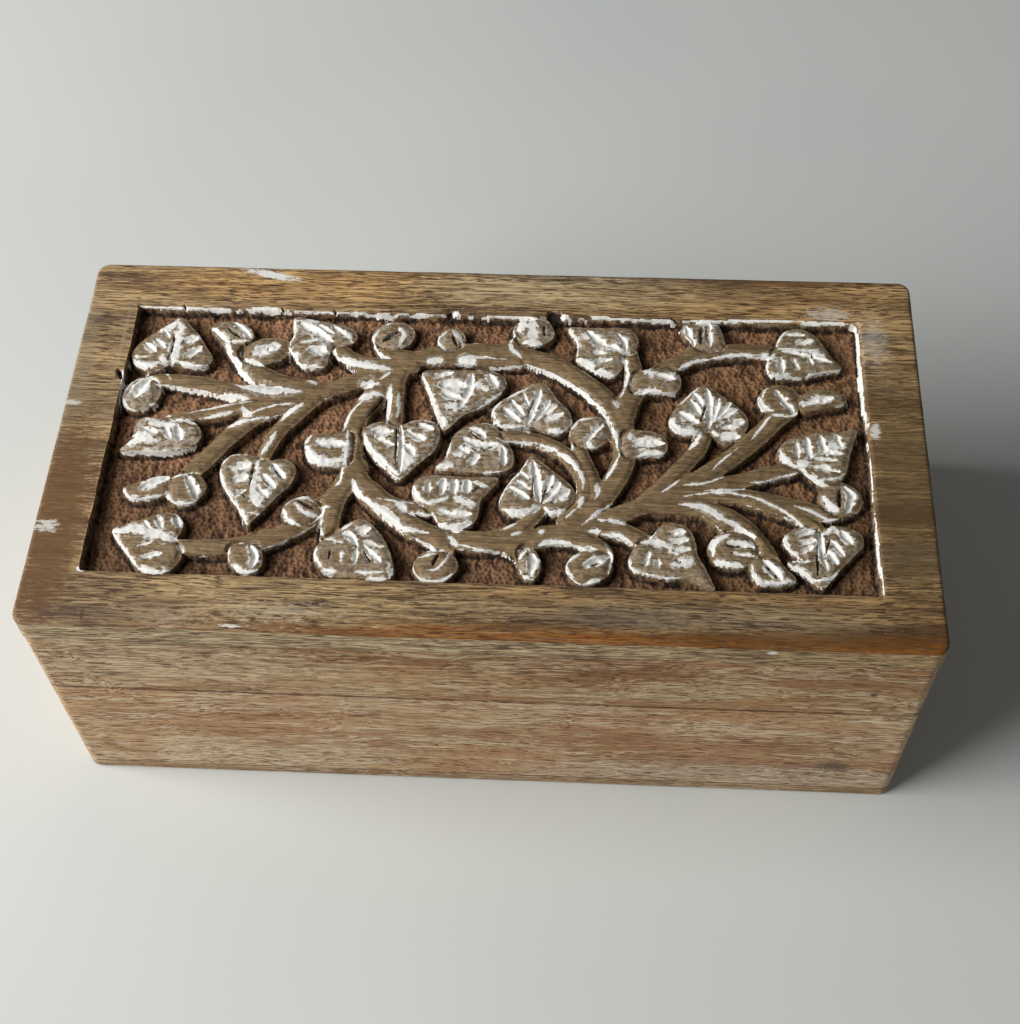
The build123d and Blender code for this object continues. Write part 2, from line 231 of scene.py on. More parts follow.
LEAVES = (
    Leaf(((-77.8, 35.4), (-75, 32.8), (-72.4, 29.6), (-70, 26.2), (-68.3, 23), (-69, 20.8), (-72.5, 20.2),
          (-76.5, 20.9), (-78.8, 20.6), (-80.5, 19.2), (-84, 19.4), (-87, 20.8), (-88.2, 24), (-86.5, 27.6),
          (-83, 31), (-80.2, 33.6)), 0.25),
    Leaf(((-85.8, -5.2), (-83.8, -1.6), (-83.4, 2.2), (-82, 4.6), (-78, 4.4), (-73.5, 4.2), (-69.5, 3.2),
          (-67.8, 0.8), (-68, -2), (-70.5, -3.8), (-75, -4.8), (-80, -5.2)), 0.7),
    Leaf(((-50, 36.2), (-45, 35.8), (-39.5, 34.8), (-35, 33.2), (-33.8, 30.8), (-35.2, 28.6), (-38.6, 27.8),
          (-40, 25), (-40.4, 21.8), (-43.5, 21.2), (-46.5, 22), (-49, 25.2), (-50.2, 27.4), (-49.4, 31)), 0.5),
    Leaf(((-83.6, -27.4), (-81, -25.8), (-77.5, -24), (-73.5, -22.2), (-70, -22.2), (-68, -24.2),
          (-67.8, -27), (-68.6, -29.2), (-67, -32), (-66.8, -34.4), (-68.4, -37), (-71.5, -38.1),
          (-75.2, -37.8), (-79.6, -32.6)), 0.12),
    Leaf(((-61.6, -9.6), (-60.8, -7), (-58.8, -5.4), (-55.6, -5.2), (-52.8, -6.2), (-50.4, -6.6),
          (-47.6, -6), (-44.8, -7.4), (-43.9, -10), (-44.8, -12.8), (-46.8, -15.8), (-49, -19),
          (-51.2, -22.2), (-53.3, -24.4), (-56, -19.8), (-59, -16), (-61, -12.6)), 0.3),
    Leaf(((-32.6, -25.6), (-30.2, -23.2), (-27.2, -22), (-24.4, -23.8), (-22.2, -26.8), (-20.4, -30.4),
          (-19.2, -34), (-19, -37), (-20.6, -38), (-25, -37.6), (-31, -37.6), (-34.8, -36.2),
          (-36.9, -33), (-36.9, -30.2), (-35.2, -27.8)), 0.3),
    Leaf(((-16.6, -13.6), (-16, -11.2), (-13.6, -9.8), (-8, -9.6), (-2, -9.6), (3, -10), (1.4, -13),
          (-0.6, -16), (-1, -19.4), (-2.2, -22.4), (-5.4, -24.4), (-9, -23.8), (-11.2, -20.6),
          (-13.4, -18.4), (-15.8, -16.6)), 0.25),
    Leaf(((-29.6, 1), (-29.2, 3.6), (-26.8, 4.9), (-23.4, 5), (-20.9, 4.2), (-18.6, 5.6), (-15.6, 6.2),
          (-12.6, 5.4), (-11.4, 2.8), (-12, -1.6), (-15.2, -5.8), (-19.8, -10.4), (-24.4, -6.8),
          (-27.8, -3)), 0.55),
    Leaf(((-17, 20.2), (-13, 21.4), (-6, 21.6), (-1, 21.4), (2.2, 20.2), (3.6, 17.6), (2, 14.4),
          (-2.6, 10.2), (-6.6, 7.6), (-10.4, 3.4), (-12.6, 8), (-15, 14.2)), 0.55),
    Leaf(((0.3, 9.6), (2, 12), (5, 14.4), (8, 16.6), (10.6, 18.2), (13, 17.4), (15.4, 13.8), (18, 11),
          (19.2, 8), (18.6, 5.2), (16.4, 3.3), (13.4, 3.9), (10.4, 5.4), (8.2, 5.2), (5.6, 4.6),
          (2.6, 5), (0.9, 7)), 0.5),
    Leaf(((17.9, 35.6), (22, 35.6), (27, 35.8), (31.4, 35.8), (34.2, 34), (34.8, 31), (33.4, 28.4),
          (31.2, 27), (31, 23.6), (29, 20.8), (26, 21.4), (22.8, 23.4), (20, 25.6), (20.2, 30), (19, 33)), 0.45),
    Leaf(((10.2, -3.2), (8.2, -7), (6, -10.4), (4.3, -13.4), (3.5, -16), (4.6, -18.8), (7.4, -20),
          (10.6, -19), (13.4, -17.4), (15.4, -19.2), (18.4, -18), (20.4, -15.4), (20.3, -12.4),
          (17.8, -9.4), (14.4, -6.6), (11.8, -4.2)), 0.25),
    Leaf(((66.6, 28.4), (68, 31), (68.6, 33.8), (70.6, 36.2), (74, 36.9), (77.2, 35.2), (79.3, 32),
          (80.6, 28.8), (83.4, 25), (79, 24), (75, 22.4), (71, 22.2), (66.8, 22.6), (65.6, 25.2)), 0.3),
    Leaf(((-11.6, -8), (-10.2, -4.6), (-8.8, -0.6), (-7.8, 2.6), (-5, 4.8), (-1, 5.8), (1.8, 4.6),
          (3, 2), (5, -0.4), (6.2, -4), (5.4, -7.4), (1, -8.6), (-5, -8.2)), 0.45),
    Leaf(((33, -31), (33.8, -28.2), (35.6, -25.8), (38.4, -24), (40, -21.6), (43, -20.6), (46, -21.8),
          (47.8, -25), (48.2, -29), (50, -32.8), (51.8, -38), (46, -35.6), (40, -35.2), (34.6, -33.6)), 0.3),
    Leaf(((42.1, 8.4), (43, 11.2), (45.8, 14.6), (48.4, 17.6), (50.8, 18.8), (53.4, 17), (56, 14.6),
          (58.6, 12), (60.4, 9), (60.2, 6), (58.4, 3.4), (55.6, 2.2), (52.8, 3.4), (50.6, 5.4),
          (47.6, 4.4), (44.4, 4.4), (42.6, 6)), 0.4),
    Leaf(((67.2, 0.6), (69, 3), (72.4, 4.8), (77, 5.8), (81.4, 6), (85.6, 6.8), (84.4, 2), (83.2, -2),
          (82.4, -5.6), (80.4, -8.6), (77.4, -9.4), (74.6, -7.4), (72.2, -5), (69.2, -3.4), (67.4, -1.4)), 0.35),
    Leaf(((67.6, -25.2), (67.8, -22.8), (70.4, -21), (74, -20.6), (75.8, -21.6), (78.2, -20.2),
          (81.4, -20.6), (84.6, -22.2), (84.8, -25), (82.8, -27.8), (80.2, -30.6), (77.8, -33.6),
          (75.4, -36.2), (72.2, -33.6), (68, -30.2), (71.4, -29.2), (69.4, -27.6)), 0.3),
    Leaf(((-83.2, -15.4), (-79.5, -13.6), (-75, -11.9), (-72.6, -12.4), (-72.8, -16.6), (-75.4, -18),
          (-79, -18.4), (-81.8, -17.8)), 0.1),
    Leaf(((72.6, 15.6), (76, 18.2), (80.4, 18.6), (83.6, 16.6), (83.2, 14.4), (79, 13), (73.6, 11.8)), 0.15),
    Leaf(((59.6, -31), (62, -29.2), (65.2, -29.2), (68, -32), (69.6, -34.8), (65.4, -36), (61.4, -35.6),
          (60, -33.4)), 0.15),
    Leaf(((34, 22), (37, 23.2), (41.4, 24.2), (44.2, 22.4), (45, 19.4), (44, 16.8), (41, 16.2),
          (37, 16.4), (34, 15.6), (33, 18)), 0.3),
    Leaf(((31.6, 4.2), (37, 4.8), (40.6, 3.6), (41.8, 1), (41, -1.6), (37, -2.2), (31.6, -2.4)), 0.3),
    Leaf(((45, 35.8), (46.6, 37.6), (53.4, 37.8), (55.2, 34.6), (55.6, 30.6), (52, 29.4), (49, 29.8),
          (47.2, 32.6)), 0.35),
    Leaf(((-42.8, -1.2), (-41.6, 1), (-36.5, 1.8), (-32, 2), (-31.6, -6.6), (-35.5, -7.6), (-39.4, -7.2),
          (-41.8, -5)), 0.15),
    Leaf(((-56.2, -30.6), (-51.4, -29.4), (-49, -31.4), (-48.7, -35.4), (-51, -37.3), (-54.2, -36.4),
          (-56, -34)), 0.15),
    Leaf(((-70, 32.2), (-67.6, 34.2), (-64.6, 34.8), (-61, 33.4), (-59.2, 30), (-61.4, 28.4), (-65.4, 28.6),
          (-67.4, 29.8)), 0.35),
)

VINES = (
    Vine(((-50, 12.2), (-38, 15), (-28, 20), (-15, 26), (0, 27.6), (12, 25), (22, 19), (29, 11),
          (32, 2), (31, -6), (27, -14), (22, -21)), 4.4, 5.4),
    Vine(((50, -12.2), (38, -15.4), (28, -20), (15, -25), (0, -27), (-12, -25.4), (-21, -19.6),
          (-29, -11.6), (-32, -3), (-31.4, 6), (-27.6, 14), (-23, 20)), 4.4, 5.4),
    Vine(((-46, 12.6), (-60, 13.2), (-70, 15.4), (-79, 16.4), (-83.5, 15)), 4.8, 3.2),
    Vine(((-46, 11.6), (-58, 8.8), (-66, 6.6), (-76, 4.6)), 4.6, 2.6),
    Vine(((-46, 10.6), (-54, 7), (-60, 1), (-64, -5), (-68.5, -11)), 4.6, 4.6),
    Vine(((-42, 12), (-47, 5.6), (-50.4, 0), (-52.4, -7)), 4.6, 3.4),
    Vine(((-40, 14), (-50, 16), (-57, 19.6), (-61.4, 24), (-64.6, 29), (-67.6, 32.4)), 5.0, 4.4),
    Vine(((-20, 22.6), (-28, 22.4), (-34, 24), (-39, 28)), 5.0, 3.4),
    Vine(((-23, 20), (-22.8, 12), (-22.2, 3.6)), 4.2, 3.6),
    Vine(((-30, -8), (-34, -15.6), (-39, -22), (-48, -28), (-58, -30.6), (-69, -30.8)), 5.4, 3.6),
    Vine(((-31, -10), (-34, -18), (-34.4, -27.4)), 4.6, 3.8),
    Vine(((-26, -13.6), (-21, -17.4), (-14, -18.6), (-6, -18)), 4.0, 3.0),
    Vine(((30, 4), (33, 14), (33.8, 21), (32.6, 28)), 5.4, 3.8),
    Vine(((32, 12), (38, 21), (46, 26.6), (56, 29.6), (68, 29.6)), 4.6, 3.6),
    Vine(((36, -16), (43, -7.6), (48.6, 0), (50.6, 7)), 4.6, 3.8),
    Vine(((40, -14), (52, -6), (60, 1.4), (66, 8), (70, 12)), 4.8, 4.6),
    Vine(((42, -12.6), (56, -9.2), (64, -6.4), (73, -3.6)), 4.4, 3.4),
    Vine(((44, -12.4), (57, -12.6), (68, -14.6), (76, -16.8), (82, -15)), 4.4, 4.4),
    Vine(((60, -13.4), (69, -16.4), (74, -20), (76, -23)), 4.0, 3.4),
    Vine(((38, -15.6), (50, -16.4), (58, -20.6), (62.4, -26.4), (64.6, -31)), 4.4, 4.6),
    Vine(((20, -21.4), (30, -22.6), (37, -25.6), (41, -28)), 5.0, 3.4),
    Vine(((14, -24.6), (22, -25.2), (27, -28.4), (27, -32)), 4.8, 4.0),
    Vine(((0, 2), (8, 2.2), (14, 0.4), (19, -3.2), (22.4, -9), (22.6, -15), (19, -20.6)), 3.0, 4.4),
    Vine(((21, 3), (21.6, -2), (24, -8), (25.4, -14)), 3.2, 4.0),
    Vine(((13.6, -16), (11, -20.6), (6, -24.6), (-1, -27)), 3.4, 4.0),
    Vine(((2, 27.6), (5.6, 30), (9, 33.6)), 4.4, 4.4),
    Vine(((-20, 24.6), (-26, 26.4), (-28, 30)), 4.6, 3.0),
    Vine(((-30.6, 0), (-36, -2)), 4.0, 4.0),
    Vine(((31, 1), (35, 1.6)), 4.0, 4.0),
    Vine(((-6, 26), (-9, 28), (-10.5, 31)), 4.6, 4.0),
    Vine(((4, -27), (8.6, -29), (10.5, -33)), 4.4, 3.6),
    Vine(((-10, -26), (-8.2, -29.6), (-9.5, -34)), 4.6, 4.0),
    Vine(((31.6, 14), (35, 18.2), (41, 19.2)), 4.2, 5.4),
    Vine(((-34, -17), (-38, -19), (-41, -20)), 4.2, 4.2),
    Vine(((-49, -27.6), (-51.4, -31)), 4.0, 4.0),
    Vine(((46, 26.4), (49, 30), (50.5, 33)), 4.0, 4.6),
    Vine(((50, -16), (56, -22), (57.6, -27)), 4.0, 4.0),
    Vine(((-20, 24), (-14, 24.6), (-4, 25), (6, 24.4)), 3.0, 3.0),
)

BUDS = (
    Bud((-83.8, 11.8), 5.0, 4.4, 60, wash=0.5),
    Bud((-24.9, 31.9), 5.2, 4.3, 10, wash=0.5),
    Bud((-10.6, 31.0), 3.6, 3.3, 80, wash=0.4),
    Bud((9.4, 34.0), 4.8, 4.2, 20, square=2.6, wash=0.6),
    Bud((-41.3, -20.2), 4.6, 3.8, 20, wash=0.15),
    Bud((-9.8, -33.8), 4.9, 4.2, wash=0.1),
    Bud((10.8, -32.2), 4.4, 2.6, 102, wash=0.5),
    Bud((24.2, -32.6), 5.1, 4.4, 30, wash=0.1),
    Bud((80.8, -12.8), 4.9, 4.6, wash=0.15),
    Bud((56.2, -27.2), 5.5, 4.9, wash=0.15),
    Bud((23.8, 4.2), 5.0, 4.6, 30, wash=0.5),
    Bud((-55.6, 26.0), 6.2, 4.1, 18, wash=0.15),
    Bud((-68.9, -15.0), 4.6, 4.4, wash=0.1),
    Bud((68.3, 15.0), 5.2, 4.6, wash=0.1),
)

GOUGED = (
    stroke(1.4, (-85.4, 26.8), (-82.4, 24.2)), stroke(1.4, (-83.4, 28.6), (-80.6, 25.4)),
    stroke(1.0, (-81.6, 31), (-79.6, 28.4)), stroke(2.0, (-76, 27.6), (-73, 29)),
    stroke(1.7, (-71.2, 26.4), (-75.4, 23)), stroke(3.0, (-82.8, 16.2), (-86, 10.2)),
    stroke(1.6, (-64.6, 34.4), (-62.4, 32.4), (-60, 29.6)), stroke(2.4, (-59.4, 24.4), (-52.4, 27.8)),
    stroke(1.4, (-82, 1.6), (-78, 0)), stroke(1.4, (-76.6, 2), (-74.4, -1.6)), stroke(1.8, (-73.6, 2.4), (-72.4, -2)),
    stroke(2.1, (-79.6, -15.7), (-73, -12.2)), stroke(2.1, (-69.4, -11.6), (-67, -14.6), (-66, -18)),
    stroke(1.0, (-77, -24.6), (-75.2, -26.6)), stroke(1.5, (-74.2, -22.8), (-72.4, -26.4)),
    stroke(1.4, (-70, -22.4), (-68.6, -25.8)), stroke(0.6, (-77.4, -31.4), (-73.8, -30.4)),
    stroke(1.1, (-76, -34.6), (-71, -32.8)), stroke(1.7, (-52, -30), (-50.4, -33), (-51, -36.2)),
    stroke(2.0, (-59.6, -10), (-54.6, -8)), stroke(1.7, (-58.6, -13.2), (-54.8, -11.4)),
    stroke(1.4, (-57.4, -16.8), (-54.6, -15)), stroke(1.9, (-49.6, -8), (-46.2, -11.8)),
    stroke(1.7, (-51.6, -11), (-48.2, -14.4)), stroke(1.7, (-52.2, -14.4), (-49.4, -17)),
    stroke(2.2, (-45.2, 26.2), (-40.4, 26.2)), stroke(2.6, (-48.6, 34.4), (-39.6, 29)),
    stroke(1.2, (-44, 34), (-39.4, 31.4)), stroke(1.2, (-40.4, 34), (-36.6, 31)),
    stroke(1.5, (-14.2, 19.2), (-9.6, 20.6)), stroke(2.8, (-12.6, 16.6), (-6.4, 16.6)),
    stroke(2.2, (-5.2, 20), (-5.6, 15), (-7.6, 10)), stroke(2.1, (-1, 19.8), (0.9, 16.8)),
    stroke(2.0, (-11.6, 14), (-7, 12.6)), stroke(1.4, (-20.8, 4.4), (-20.2, -2), (-20, -9.4)),
    stroke(2.2, (-27.2, 2), (-22.4, 2.4)), stroke(1.4, (-26.6, 0.4), (-22, -1.4)), stroke(1.9, (-19.4, 2.6), (-15, 0.2)),
    stroke(1.4, (-17, 4.8), (-13, 3.4)), stroke(2.0, (-19.6, -1), (-17, -4)), stroke(1.5, (-13, -11.2), (-13, -15.4)),
    stroke(1.7, (-9.6, -10.8), (-9.8, -14.8)), stroke(1.7, (-7, -10.6), (-7, -14.8)), stroke(1.8, (-4, -10.8), (-4, -14.2)),
    stroke(1.6, (-10.6, -19.4), (-5.6, -20.2), (-2.6, -19.8)), stroke(1.6, (-31.8, -26.4), (-29.6, -26.8), (-28, -29.4)),
    stroke(1.0, (-27.8, -29), (-28, -34.4)), stroke(1.9, (-28.4, -26), (-25.2, -24.4)), stroke(1.0, (-27, -28.4), (-21.6, -29.4)),
    stroke(1.6, (-26.4, -29.6), (-22, -33.8)), stroke(2.3, (22.2, 34.4), (25.4, 31), (29.8, 29)),
    stroke(1.5, (29.6, 33.8), (31.2, 31), (31.4, 28.6)), stroke(0.9, (23.2, 27.5), (27.4, 27.8)),
    stroke(1.2, (24, 24.8), (28.4, 26)), stroke(1.8, (8.6, 5.6), (10, 9.4), (11.3, 16.4)),
    stroke(1.7, (3.2, 9.8), (7, 6.2)), stroke(1.6, (4.8, 12.6), (7.9, 8)), stroke(1.0, (7.2, 15), (9, 11)),
    stroke(1.6, (10.6, 6.6), (14, 12.8)), stroke(2.0, (12.4, 7.4), (17.2, 9.2)), stroke(1.6, (11.6, 8.4), (15.8, 11.6)),
    stroke(1.8, (22.4, 1.2), (26.8, 6.6)), stroke(2.4, (33.4, 0.8), (41, 1.2)), stroke(1.9, (12.5, -16.4), (11.8, -10), (10.7, -4.8)),
    stroke(1.4, (5.4, -12.4), (10, -15.4)), stroke(1.2, (6.8, -10.6), (10.4, -12.8)), stroke(0.7, (7.6, -7.8), (10, -10)),
    stroke(1.8, (13.4, -14.2), (15.2, -8.4)), stroke(1.9, (14.4, -14.4), (16.9, -10.6)), stroke(2.0, (15.4, -16.2), (19.3, -12.6)),
    stroke(1.9, (22.8, -33.2), (28.4, -29.8)), stroke(2.3, (10.6, -28.8), (11.6, -32), (11, -35.6)),
    stroke(1.3, (42, -23.8), (45.6, -22.8)), stroke(1.3, (42, -26), (46.4, -25)), stroke(1.1, (42.4, -28), (47, -27.3)),
    stroke(1.2, (36.4, -32.4), (37.4, -28.6)), stroke(1.2, (39.2, -33.2), (39.6, -30)),
    stroke(1.0, (68.8, 29.7), (74, 28.8), (81.6, 26.4)), stroke(1.6, (68.8, 27.6), (69, 23.2)),
    stroke(1.2, (71.8, 27.6), (73, 24)), stroke(0.8, (75.4, 28), (76.6, 25.4)), stroke(1.3, (72.4, 32.2), (77, 33.5)),
    stroke(0.8, (69.8, 34.9), (75, 34.9)), stroke(2.0, (51, 5.6), (51.6, 10), (51, 17.8)), stroke(1.7, (46.8, 14.2), (49.6, 9.4)),
    stroke(1.3, (47.8, 16.2), (50, 12)), stroke(2.0, (44, 10.4), (48.8, 7.2)), stroke(1.7, (52.4, 8.2), (53.6, 15.2)),
    stroke(1.7, (53, 8.4), (56.3, 14)), stroke(1.6, (53.8, 8.8), (57.8, 11.8)), stroke(2.2, (53.6, 6), (59.6, 8.3)),
    stroke(1.8, (53.6, 3.6), (58.4, 4)), stroke(2.0, (67.4, 17.6), (69.4, 14.6), (71.2, 11.4)),
    stroke(1.8, (73, 13.8), (80.6, 15.9)), stroke(1.3, (71.5, 3), (71.6, -2)), stroke(1.8, (73.8, 4), (74.4, -2)),
    stroke(1.8, (77, 4.4), (78.2, -1)), stroke(1.4, (80.8, 5.2), (81.8, 1.6)), stroke(1.2, (76, 0.4), (82, -0.2)),
    stroke(0.9, (75, -1.9), (81, -2.3)), stroke(1.3, (74.4, -4), (81.2, -5.5)), stroke(2.1, (81.4, -9.4), (83.2, -12.2), (81.8, -16.4)),
    stroke(1.7, (54.6, -25.8), (60.6, -26.2)), stroke(0.9, (55.8, -28.4), (60.8, -28.8)), stroke(2.2, (62.4, -29.8), (66.4, -34.8)),
    stroke(1.6, (75.6, -21.8), (75.8, -28), (76.5, -32)), stroke(1.6, (70.2, -23.3), (74.4, -21.4)),
    stroke(1.4, (70.8, -25.5), (74.4, -24.2)), stroke(1.2, (71, -27.5), (74, -26)), stroke(1.7, (80.2, -21.8), (82.3, -25)),
    stroke(1.3, (78, -24.4), (80.5, -28.2)), stroke(1.6, (76.8, -27), (78.7, -30.2)), stroke(1.8, (51.9, 37.4), (52, 30.6)),
    stroke(1.7, (46.2, 36.8), (48.4, 31)), stroke(1.8, (-40.6, -1.4), (-33.2, -1.6)), stroke(1.6, (38.6, 21.2), (43.6, 20.4)),
    stroke(1.6, (-4.6, 4), (-2, 2.8), (-0.4, 0.9)), stroke(1.9, (-6.2, 0.9), (-2.8, -0.5), (1.4, -0.5)),
    stroke(1.7, (-1.8, -3.9), (-4.4, -6.4)), stroke(1.5, (3.3, -1.4), (3.9, -3.4), (4, -6.6)), stroke(1.6, (-7.4, -1.6), (-4.2, -3.2)),
)

